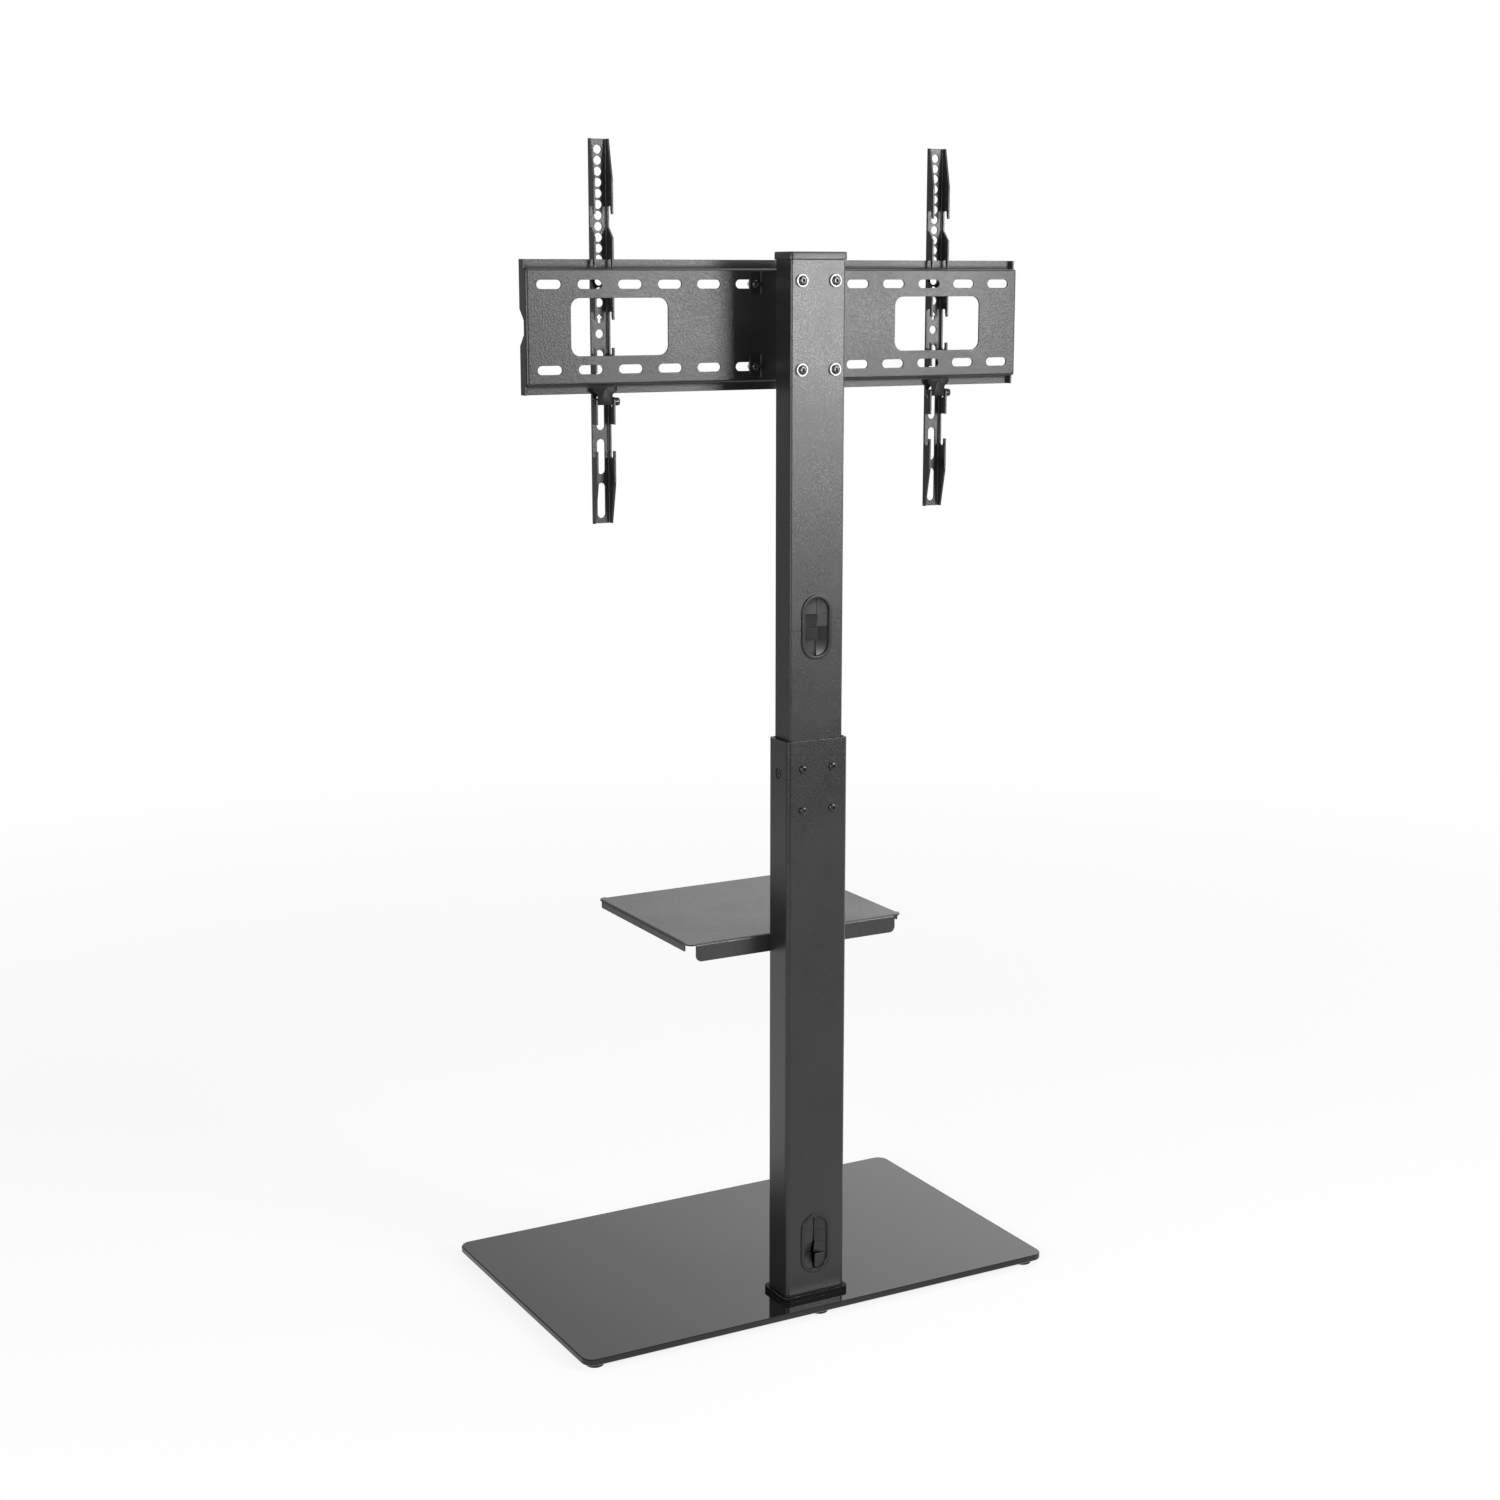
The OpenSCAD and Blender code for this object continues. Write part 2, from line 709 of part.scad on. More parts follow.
// Slotted plate with stepped lips and notched end flanges
module mount_plate() {
    half = plate_w / 2;
    web_half = plate_h / 2 - lip_h - bend_r;
    x_in = half - sheet_t;
    lip_l = 2 * (x_in - lip_end_gap);
    web_l = 2 * (half - bend_r);
    flange_y0 = plate_back - end_flange_d;
    color(steel_black) difference() {
        union() {
            bar_yz(-lip_l / 2, lip_l) translate([0, plate_z]) union() {
                plate_half();
                mirror([0, 1]) plate_half();
            }
            bar_yz(-web_l / 2, web_l) translate([plate_front, plate_z - web_half])
                square([sheet_t, 2 * web_half]);
            for (s = [-1, 1]) {
                translate([s * (half - bend_r), plate_back - bend_r, plate_z - web_half])
                    linear_extrude(2 * web_half) bend(bend_r, bend_in, s, 1);
                bar_yz(s > 0 ? x_in : -half, sheet_t) translate([0, plate_z]) end_flange(flange_y0, web_half);
            }
        }
        plate_xz(plate_back + 2, sheet_t + 4) translate([0, plate_z]) union() {
            for (i = [0 : slot_n - 1], s = [-1, 1]) {
                translate([(i - (slot_n - 1) / 2) * slot_pitch, s * row_gap / 2]) rotate(90)
                    obround(slot_w, slot_len);
            }
            for (s = [-1, 1]) {
                translate([s * window_x, 0]) rounded(window_w, window_h, window_r);
            }
        }
    }
}

// Outline of an end flange, with the wide notch in its free edge
module end_flange(y0, web_half) {
    y_cut = plate_back - end_cut_d;
    h = plate_h / 2;
    polygon([
        [y0, -h], [y_cut, -h], [y_cut, -web_half], [plate_back - bend_r, -web_half],
        [plate_back - bend_r, web_half], [y_cut, web_half], [y_cut, h], [y0, h],
        [y0, notch_mouth / 2], [y0 + notch_d, notch_floor / 2],
        [y0 + notch_d, -notch_floor / 2], [y0, -notch_mouth / 2]
    ]);
}

module plate_bolts() {
    head_y = plate_back + bracket_t;
    color("#1d1d1e") for (x = [-1, 1], s = [-1, 1]) {
        z = plate_z + s * row_gap / 2;
        difference() {
            union() {
                rod_y(x * plate_bolt_x, plate_front - 7, z, m6_r, sheet_t + bracket_t + 8);
                rod_y(x * plate_bolt_x, head_y, z, 5, 3);
            }
            cross_y(x * plate_bolt_x, head_y + 1.4, z, 4.6, 3);
        }
    }
}

module plate_nuts() {
    color(zinc) for (x = [-1, 1], s = [-1, 1]) {
        z = plate_z + s * row_gap / 2;
        nut_y(x * plate_bolt_x, plate_front - 6, z, 10, m6_r, 6);
        difference() {
            rod_y(x * plate_bolt_x, plate_front - 1.4, z, 7, 1.4);
            rod_y(x * plate_bolt_x, plate_front - 2, z, m6_r, 3);
        }
    }
}

// Outline, in Y and Z, of what is cut from the arm's flanges. z is the height of
// the slit's closed end: the slit, the recess below it and the chamfer under that.
module hook_cut(z, chamfered) {
    slit = arm_back - prong_t - recess_y;
    far = arm_back + 1;
    tip = z - prong_l;
    foot_z = tip - recess_l;
    translate([recess_y, z - slit / 2]) square([slit, slit / 2 - slit_corner]);
    translate([recess_y + slit_corner, z - slit / 2]) square([slit - 2 * slit_corner, slit / 2]);
    for (y = [slit_corner, slit - slit_corner]) {
        translate([recess_y + y, z - slit_corner]) circle(r = slit_corner);
    }
    polygon([
        [recess_y, z - slit / 2], [recess_y + slit, z - slit / 2],
        [recess_y + slit + prong_taper, tip], [far, tip],
        [far, foot_z - (chamfered ? recess_chamfer + 1 : 0)],
        [recess_y, foot_z + (chamfered ? recess_chamfer : 0)]
    ]);
}

// The matching cut round the lower lip, with the slit turned up. z is the tip.
module low_cut(z, l) {
    slit = arm_back - prong_t - recess_y;
    far = arm_back + 1;
    translate([recess_y + slit / 2, z - low_slit_l + slit / 2]) circle(d = slit);
    translate([recess_y, z - low_slit_l + slit / 2]) square([slit, low_slit_l - slit / 2 + eps]);
    translate([recess_y, z]) square([far - recess_y, l]);
}

// Everything cut from the flanges, seen from the side
module arm_side_cuts() {
    far = arm_back + 1;
    for (i = [0, 1]) {
        hook_cut(hook_top + (1 - i) * hook_pitch, true);
    }
    hook_cut(hook_top - hook_pitch, false);
    low_cut(low_prong_z + hook_pitch, low_recess_l);
    low_cut(low_prong_z, low_recess_l);
    low_cut(low_prong_z - hook_pitch, low_recess_l);
    polygon([
        [arm_front + taper_end_d, arm_hi + 1], [arm_front + taper_end_d, arm_hi],
        [arm_back, arm_hi - taper_l], [far, arm_hi - taper_l], [far, arm_hi + 1]
    ]);
    polygon([
        [arm_front + taper_end_d, arm_lo - 1], [arm_front + taper_end_d, arm_lo],
        [arm_back, arm_lo + taper_l], [far, arm_lo + taper_l], [far, arm_lo - 1]
    ]);
}

// Holes and slots in the arm's web
module arm_web_cuts() {
    for (i = [0 : hole_n - 1]) {
        translate([0, arm_hi - first_hole - i * hole_pitch]) circle(d = hole_d);
    }
    translate([0, arrow_z]) polygon([[0, 6], [4.2, 0.5], [2, 0.5], [2, -5], [-2, -5], [-2, 0.5], [-4.2, 0.5]]);
    translate([0, arm_mid_z]) circle(d = hole_d);
    for (i = [0 : 3]) {
        translate([0, slot_z1 - i * slot_step]) obround(hole_d, slot_l);
    }
}

// One arm: a folded channel with three pairs of hooks, its centre line at x = 0
module arm() {
    r = 3;
    t = sheet_t;
    color(steel_black) difference() {
        translate([0, 0, arm_lo]) linear_extrude(arm_l) union() {
            translate([-arm_w / 2 + r, arm_front]) square([arm_w - 2 * r, t]);
            for (s = [-1, 1]) {
                translate([s * (arm_w / 2 - r), arm_front + r]) bend(r, r - t, s, -1);
                translate([s > 0 ? arm_w / 2 - t : -arm_w / 2, arm_front + r]) square([t, arm_d - r]);
            }
        }
        bar_yz(-arm_w, 2 * arm_w) arm_side_cuts();
        plate_xz(arm_front + t + 1, t + 2) arm_web_cuts();
    }
}

// Cross bolt of the lock, with its shoulder and head on the -X side
module lock_bolt() {
    x0 = -arm_w / 2 - lock_washer_t;
    color("#2a2a2c") difference() {
        union() {
            rod_x(x0, lock_y, lock_z, lock_bolt_r, arm_w + lock_washer_t + 6);
            rod_x(x0, lock_y, lock_z, 4, lock_washer_t);
            rod_x(-arm_w / 2 - 1.2, lock_y, lock_z, 5.2, 1.2);
            rod_x(x0 - lock_head_h, lock_y, lock_z, lock_head_r, lock_head_h);
        }
        translate([x0 - lock_head_h - 1, lock_y - 2.2, lock_z - 0.5]) cube([2.6, 4.4, 1]);
        translate([x0 - lock_head_h - 1, lock_y - 0.5, lock_z - 2.2]) cube([2.6, 1, 4.4]);
    }
}

module lock_nut() {
    color(zinc) difference() {
        translate([arm_w / 2, lock_y, lock_z]) rotate([0, 90, 0]) cylinder(d = 8 / cos(30), h = 4, $fn = 6);
        rod_x(arm_w / 2 - 1, lock_y, lock_z, lock_bolt_r, 6);
    }
}

// Lock clip: a wide head behind the lower lip, a pressed triangle and two eyes
module lock_clip() {
    half = clip_w / 2;
    bottom = lock_z - 3.4;
    neck = lock_z + 8;
    color(plastic_black) difference() {
        union() {
            plate_xz(clip_back, clip_t) polygon([
                [-half, bottom], [half, bottom], [half, neck], [clip_head_w / 2, neck + 5],
                [clip_head_w / 2, clip_top], [-clip_head_w / 2, clip_top], [-clip_head_w / 2, neck + 5],
                [-half, neck]
            ]);
            plate_xz(clip_back + 1, 1 + eps) polygon([
                [-half + 0.6, bottom], [half - 0.6, bottom], [2.2, clip_top - 1.4], [-2.2, clip_top - 1.4]
            ]);
            for (s = [-1, 1]) {
                bar_yz(s > 0 ? half - clip_t : -half, clip_t) union() {
                    translate([lock_y, lock_z]) circle(4.2);
                    translate([lock_y, bottom]) square([clip_back - clip_t - lock_y + eps, 7.6]);
                }
            }
        }
        rod_x(-half - 1, lock_y, lock_z, lock_bolt_r + lock_run, clip_w + 2);
    }
}

glass_base();
rubber_feet();
under_plate();
lower_gasket();
upper_gasket();
base_bolts();
base_collar();
lower_column();
guide_sleeve();
side_screw();
pressure_plate();
clamp_screws();
grommet_frame(low_back, low_grommet_z);  // lower_grommet_frame
grommet_flaps(low_back, low_grommet_z);  // lower_grommet_flaps
shelf();
shelf_screws();
shelf_rivet_nuts();
upper_column();
glide_shoe();
top_cap();
grommet_frame(up_back, up_grommet_z);  // upper_grommet_frame
grommet_flaps(up_back, up_grommet_z);  // upper_grommet_flaps
mount_bracket();
column_bolts();
cup_washers();
column_nuts();
mount_plate();
plate_bolts();
plate_nuts();
translate([arm_left_x, 0, 0]) arm();  // left_arm
translate([arm_right_x, 0, 0]) arm();  // right_arm
translate([arm_left_x, 0, 0]) lock_bolt();  // left_lock_bolt
translate([arm_right_x, 0, 0]) lock_bolt();  // right_lock_bolt
translate([arm_left_x, 0, 0]) lock_nut();  // left_lock_nut
translate([arm_right_x, 0, 0]) lock_nut();  // right_lock_nut
translate([arm_left_x, 0, 0]) lock_clip();  // left_lock_clip
translate([arm_right_x, 0, 0]) lock_clip();  // right_lock_clip
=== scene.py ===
"""Looks of a floor stand for a flat screen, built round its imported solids.

Every length is in metres, in the stand's own frame: the origin is on the floor under
the middle of the glass, +Z is up, the screen side is -Y and the cable side is +Y.
"""

from __future__ import annotations

import json
import logging
import math
from dataclasses import dataclass, field
from enum import Enum
from typing import Sequence

import bmesh
import bpy
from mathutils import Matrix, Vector

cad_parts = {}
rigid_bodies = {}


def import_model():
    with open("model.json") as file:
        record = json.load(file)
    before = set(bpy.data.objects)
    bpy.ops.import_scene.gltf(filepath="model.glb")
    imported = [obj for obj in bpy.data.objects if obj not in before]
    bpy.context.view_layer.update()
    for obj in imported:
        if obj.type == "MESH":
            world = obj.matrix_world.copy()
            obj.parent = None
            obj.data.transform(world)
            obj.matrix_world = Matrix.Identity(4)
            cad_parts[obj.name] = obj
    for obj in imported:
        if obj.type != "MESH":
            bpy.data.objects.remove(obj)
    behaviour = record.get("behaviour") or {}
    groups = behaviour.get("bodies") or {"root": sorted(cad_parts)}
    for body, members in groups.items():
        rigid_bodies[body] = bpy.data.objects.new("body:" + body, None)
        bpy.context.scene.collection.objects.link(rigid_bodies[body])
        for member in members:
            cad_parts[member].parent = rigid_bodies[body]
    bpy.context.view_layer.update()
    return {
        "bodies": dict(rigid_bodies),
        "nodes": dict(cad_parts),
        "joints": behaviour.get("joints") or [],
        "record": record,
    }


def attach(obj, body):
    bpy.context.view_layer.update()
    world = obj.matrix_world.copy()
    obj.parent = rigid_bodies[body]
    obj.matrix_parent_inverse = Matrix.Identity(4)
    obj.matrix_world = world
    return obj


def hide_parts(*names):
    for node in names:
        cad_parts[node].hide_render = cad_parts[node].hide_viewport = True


log = logging.getLogger("stand")

Socket = bpy.types.NodeSocket
Sockets = bpy.types.bpy_prop_collection
Piece = bpy.types.Object
Point = tuple[float, float]
Place = tuple[float, float, float]
Colour = tuple[float, float, float]
Loop = list[Vector]

QUARTER = math.pi / 2
WHITE = (1.0, 1.0, 1.0, 1.0)
DUST_COLOUR = (0.32, 0.31, 0.30)


class Slot(Enum):
    """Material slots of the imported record."""

    POWDER = "black_powder_coat"
    GLASS = "black_glass"
    PLASTIC = "black_plastic"
    RUBBER = "rubber"
    ZINC = "zinc_plated_steel"
    BLACK_STEEL = "blackened_steel"
    CHROME = "chrome_plating"


class Recess(Enum):
    """Shape of the socket in a screw's head."""

    NONE = "none"
    CROSS = "cross"
    HEXAGON = "hexagon"


class Facing(Enum):
    """Way in which a head or foot looks, as its turn away from +Z."""

    REAR = (-QUARTER, 0.0, 0.0)
    FRONT = (QUARTER, 0.0, 0.0)
    DOWN = (math.pi, 0.0, 0.0)
    LEFT = (0.0, -QUARTER, 0.0)


class Plane(Enum):
    """Plane of an outline: what X, Y and Z take, out of its two numbers and its level."""

    XY = (0, 1, 2)
    XZ = (0, 2, 1)
    YZ = (2, 0, 1)


# Node boards and shared effects


class NodeBoard:
    """Adds and joins the nodes of one tree."""

    prefix = "ShaderNode"

    def __init__(self, tree: bpy.types.NodeTree) -> None:
        """Takes a tree and clears it."""
        self.tree = tree
        tree.nodes.clear()

    def socket(self, label: str, way: str, kind: str) -> bpy.types.NodeTreeInterfaceSocket:
        """Gives a group's tree an INPUT or OUTPUT."""
        return self.tree.interface.new_socket(label, in_out=way, socket_type="NodeSocket" + kind)

    def add(self, kind: str, *first: object, **named: object) -> Sockets:
        """Adds a node, sets its properties, and links or sets its inputs.

        Args:
            kind: the node's class, with or without the board's prefix.
            first: sockets or values for the first inputs, in order.
            named: properties, and inputs by name, with _ for a space, or by _ and number.

        Returns:
            The node's outputs.
        """
        node = self.tree.nodes.new(kind if "Node" in kind else self.prefix + kind)
        inputs = dict(enumerate(first))
        for key, value in named.items():
            if hasattr(node, key):
                setattr(node, key, value)
            else:
                inputs[int(key[1:]) if key[0] == "_" else key.replace("_", " ")] = value
        for key, value in inputs.items():
            if isinstance(value, Socket):
                self.tree.links.new(value, node.inputs[key])
            else:
                node.inputs[key].default_value = value
        return node.outputs

    def calc(self, kind: str, *values: Socket | float, clamp: bool = False) -> Socket:
        """Adds a Math node."""
        return self.add("Math", *values, operation=kind, use_clamp=clamp)[0]

    def span(self, value: Socket, start: float, end: float, low: float = 0.0, high: float = 1.0) -> Socket:
        """Maps start to low and end to high, held at both ends."""
        return self.add("MapRange", value, start, end, low, high)[0]

    def noise(self, scale: Socket | float, **settings: float) -> Socket:
        """Adds a noise in the object's own coordinates."""
        place = self.add("TexCoord")["Object"]
        return self.add("TexNoise", Vector=place, Scale=scale, **settings)["Fac"]

    def blend(self, share: Socket, under: Socket | Colour, over: Socket | Colour) -> Socket:
        """Mixes two colours by the second one's share."""
        pair = [(*value, 1.0) if isinstance(value, tuple) else value for value in (under, over)]
        return self.add("Mix", share, data_type="RGBA", _6=pair[0], _7=pair[1])[2]

    def layer(self, share: Socket, under: Socket, over: Socket) -> Socket:
        """Mixes two shaders by the second one's share."""
        return self.add("MixShader", share, under, over)[0]

    def seen_share(self) -> Socket:
        """1 for rays from the camera, a mirror or glass, and 0 for the rest.

        Returns:
            The share.
        """
        path = self.add("LightPath")
        seen = path["Is Camera Ray"]
        for other in ("Is Glossy Ray", "Is Transmission Ray"):
            seen = self.calc("ADD", seen, path[other], clamp=True)
        return seen


class EffectGroup(NodeBoard):
    """A shader node group with named inputs and outputs."""

    name = "effect"
    inputs: dict[str, float] = {}
    outputs = {"Mask": "Float"}

    def __init__(self) -> None:
        """Makes the group's tree and fills it."""
        super().__init__(bpy.data.node_groups.new(self.name, "ShaderNodeTree"))
        for label, value in self.inputs.items():
            self.socket(label, "INPUT", "Float").default_value = value
        for label, kind in self.outputs.items():
            self.socket(label, "OUTPUT", kind)
        self.given = self.add("NodeGroupInput")
        self.add("NodeGroupOutput", **self.wire())

    def wire(self) -> dict[str, Socket]:
        """Fills the group and gives a socket for each output."""
        raise NotImplementedError

    @classmethod
    def place(cls, board: NodeBoard, **values: float) -> Sockets:
        """Adds the group to a material, and makes it on first use."""
        tree = bpy.data.node_groups.get(cls.name) or cls().tree
        return board.add("Group", node_tree=tree, **values)


class WornAndHighlitEdges(EffectGroup):
    """Finds edges, and rounds their shading as a coat of paint does. Its mask lays each finish's edge
    colour on: worn paint on most finishes, and a painted highlight on the collar.
    """

    name = "worn_edges"
    inputs = {"Radius": 0.0008, "Wear": 0.5, "Patch Size": 60.0}
    outputs = {"Mask": "Float", "Normal": "Vector"}
    turned = (0.995, 0.80)
    patchy = (0.42, 0.66, 0.25, 1.0)

    def wire(self) -> dict[str, Socket]:
        """Compares the rounded normal with the plain one, and breaks the mask up.

        Returns:
            The mask and the rounded normal.
        """
        rounded = self.add("Bevel", samples=6, Radius=self.given["Radius"])[0]
        plain = self.add("NewGeometry")["Normal"]
        same = self.add("VectorMath", rounded, plain, operation="DOT_PRODUCT")["Value"]
        patches = self.noise(self.given["Patch Size"], Detail=5.0, Roughness=0.65)
        broken = self.calc("MULTIPLY", self.span(same, *self.turned), self.span(patches, *self.patchy))
        mask = self.calc("MULTIPLY", broken, self.given["Wear"], clamp=True)
        return {"Mask": mask, "Normal": rounded}


class CoatGrain(EffectGroup):
    """Fine bumps of a baked powder coat, with slow shifts in tone and gloss."""

    name = "coat_grain"
    inputs = {"Grain Size": 900.0, "Cloud Size": 9.0}
    outputs = {"Height": "Float", "Tone": "Float", "Gloss": "Float"}
    relief = (0.6, 0.5)
    mixes = {"Tone": ((0.7, 0.3), (0.3, 0.7)), "Gloss": ((0.4, 0.6), (0.38, 0.62))}

    def weigh(self, one: Socket, other: Socket, shares: Point) -> Socket:
        """Adds two values, each times its share."""
        scaled = (self.calc("MULTIPLY", *pair) for pair in zip((one, other), shares))
        return self.calc("ADD", *scaled)

    def wire(self) -> dict[str, Socket]:
        """Lays a fine cell pattern over a fine and a coarse noise.

        Returns:
            The height, and the shifts in tone and gloss.
        """
        size = self.given["Grain Size"]
        fine = self.noise(size, Detail=3.0, Roughness=0.6)
        cloud = self.noise(self.given["Cloud Size"], Detail=4.0, Roughness=0.55)
        cells = self.add("TexVoronoi", feature="SMOOTH_F1", Smoothness=0.6, Scale=size,
                         Vector=self.add("TexCoord")["Object"])["Distance"]
        shifts = {label: self.span(self.weigh(cloud, fine, shares), *limits)
                  for label, (shares, limits) in self.mixes.items()}
        return {"Height": self.weigh(fine, cells, self.relief), **shifts}


class SettledDust(EffectGroup):
    """Thin dust that gathers on faces that look up."""

    name = "settled_dust"
    inputs = {"Amount": 0.3, "Speck Size": 240.0}
    upward = (0.35, 0.95)
    specks = (0.4, 0.75, 0.15, 1.0)
    clouds = (0.35, 0.7, 0.3, 1.0)
    cloud_size = 7.0

    def wire(self) -> dict[str, Socket]:
        """Multiplies the upward share of the normal by specks and slow clouds.

        Returns:
            The mask.
        """
        rise = self.add("SeparateXYZ", self.add("NewGeometry")["Normal"])["Z"]
        specks = self.noise(self.given["Speck Size"], Detail=6.0, Roughness=0.7)
        clouds = self.noise(self.cloud_size, Detail=3.0)
        both = self.calc("MULTIPLY", self.span(specks, *self.specks), self.span(clouds, *self.clouds))
        settled = self.calc("MULTIPLY", both, self.span(rise, *self.upward))
        return {"Mask": self.calc("MULTIPLY", settled, self.given["Amount"], clamp=True)}


class DulledCorners(EffectGroup):
    """Dull, dusty coat in folds and corners, where no cloth reaches."""

    name = "dulled_corners"
    inputs = {"Reach": 0.006}
    openness = (0.45, 0.92, 1.0, 0.0)

    def wire(self) -> dict[str, Socket]:
        """Turns the openness of the surface round a point into a mask."""
        share = self.add("AmbientOcclusion", samples=8, only_local=True, Distance=self.given["Reach"])["AO"]
        return {"Mask": self.span(share, *self.openness)}


class WipedSmears(EffectGroup):
    """Faint wiped streaks on a polished face."""

    name = "wiped_smears"
    inputs = {"Streak Size": 4.0, "Strength": 0.5}
    stretch = (1.0, 3.4, 1.0)
    turn = (0.0, 0.0, 0.5)
    crests = (0.45, 0.75)

    def wire(self) -> dict[str, Socket]:
        """Stretches a noise sideways, bends it and keeps its crests.

        Returns:
            The mask.
        """
        place = self.add("Mapping", Vector=self.add("TexCoord")["Object"],
                         Scale=self.stretch, Rotation=self.turn)[0]
        streaks = self.add("TexNoise", Vector=place, Scale=self.given["Streak Size"],
                           Detail=6.0, Roughness=0.62, Distortion=0.8)["Fac"]
        crests = self.span(streaks, *self.crests)
        return {"Mask": self.calc("MULTIPLY", crests, self.given["Strength"])}


# Finishes


@dataclass(frozen=True)
class Finish:
    """A coated finish: fine grain, edge colour and dust. The edge colour is worn paint, and on the collar
    it is a painted highlight.
    """

    name: str
    tone: Colour
    lighter: Colour
    worn_and_highlit: Colour
    roughness: float
    specular: float
    slot: Slot = Slot.POWDER
    roughness_swing: float = 0.05
    metallic: float = 0.0
    grain_size: float = 620.0
    grain_depth: float = 0.6
    grain_step: float = 0.00030
    wear: float = 0.5
    edge_radius: float = 0.0007
    dust: float = 0.10
    dust_dulling: float = 0.35
    corner_dulling: float = 0.0

    def material(self) -> bpy.types.Material:
        """Makes the material on first use.

        Returns:
            The material, shared by every piece that wears this finish.
        """
        known = bpy.data.materials.get(self.name)
        if known is not None:
            return known
        made = bpy.data.materials.new(self.name)
        made.use_nodes = True
        board = NodeBoard(made.node_tree)
        shader = board.add("BsdfPrincipled", Metallic=self.metallic, Specular_IOR_Level=self.specular,
                           **self.wire(board))
        board.add("OutputMaterial", Surface=shader[0])
        return made

    def wire(self, board: NodeBoard) -> dict[str, object]:
        """Draws colour, roughness and normal from the shared effects.

        Args:
            board: the material's board.

        Returns:
            What feeds the shader's inputs.
        """
        grain = CoatGrain.place(board, Grain_Size=self.grain_size)
        edges = WornAndHighlitEdges.place(board, Radius=self.edge_radius, Wear=self.wear)
        dust = SettledDust.place(board, Amount=self.dust)["Mask"]
        base = board.blend(grain["Tone"], self.tone, self.lighter)
        # Edge colour: worn paint on most finishes, and a painted highlight on the collar
        rubbed_and_highlit = board.blend(edges["Mask"], base, self.worn_and_highlit)
        gloss = board.span(grain["Gloss"], 0.0, 1.0, self.roughness - self.roughness_swing,
                           self.roughness + self.roughness_swing)
        dulled = board.calc("MULTIPLY_ADD", dust, self.dust_dulling, gloss, clamp=True)
        if self.corner_dulling:
            folds = DulledCorners.place(board)["Mask"]
            dulled = board.calc("MULTIPLY_ADD", folds, self.corner_dulling, dulled, clamp=True)
        bump = board.add("Bump", Strength=self.grain_depth, Distance=self.grain_step,
                         Height=grain["Height"], Normal=edges["Normal"])[0]
        return {"Base_Color": board.blend(dust, rubbed_and_highlit, DUST_COLOUR), "Roughness": dulled, "Normal": bump}


@dataclass(frozen=True)
class Moulding(Finish):
    """Moulded plastic, with hardly any grain."""

    slot: Slot = Slot.PLASTIC
    roughness_swing: float = 0.06
    grain_size: float = 1500.0
    grain_depth: float = 0.1
    grain_step: float = 0.0002


@dataclass(frozen=True)
class Plating(Finish):
    """Plated or blackened steel."""

    slot: Slot = Slot.ZINC
    roughness_swing: float = 0.04
    grain_size: float = 1400.0
    grain_depth: float = 0.05
    grain_step: float = 0.0002
    edge_radius: float = 0.0003
    dust: float = 0.05


@dataclass(frozen=True)
class GlossGlass(Finish):
    """Black glass: a deep gloss with wiped smears in place of grain."""

    slot: Slot = Slot.GLASS
    streaks: float = 0.5
    speck_size: float = 520.0
    dust_dulling: float = 0.3
    refraction: float = 1.52

    def wire(self, board: NodeBoard) -> dict[str, object]:
        """Draws colour and roughness from smears and dust.

        Args:
            board: the material's board.

        Returns:
            What feeds the shader's inputs.
        """
        smears = WipedSmears.place(board, Strength=self.streaks)["Mask"]
        dust = SettledDust.place(board, Amount=self.dust, Speck_Size=self.speck_size)["Mask"]
        base = board.blend(smears, self.tone, self.lighter)
        smeared = board.calc("MULTIPLY_ADD", smears, self.roughness_swing, self.roughness)
        dulled = board.calc("MULTIPLY_ADD", dust, self.dust_dulling, smeared, clamp=True)
        colour = board.blend(dust, base, DUST_COLOUR)
        return {"Base_Color": colour, "Roughness": dulled, "IOR": self.refraction}


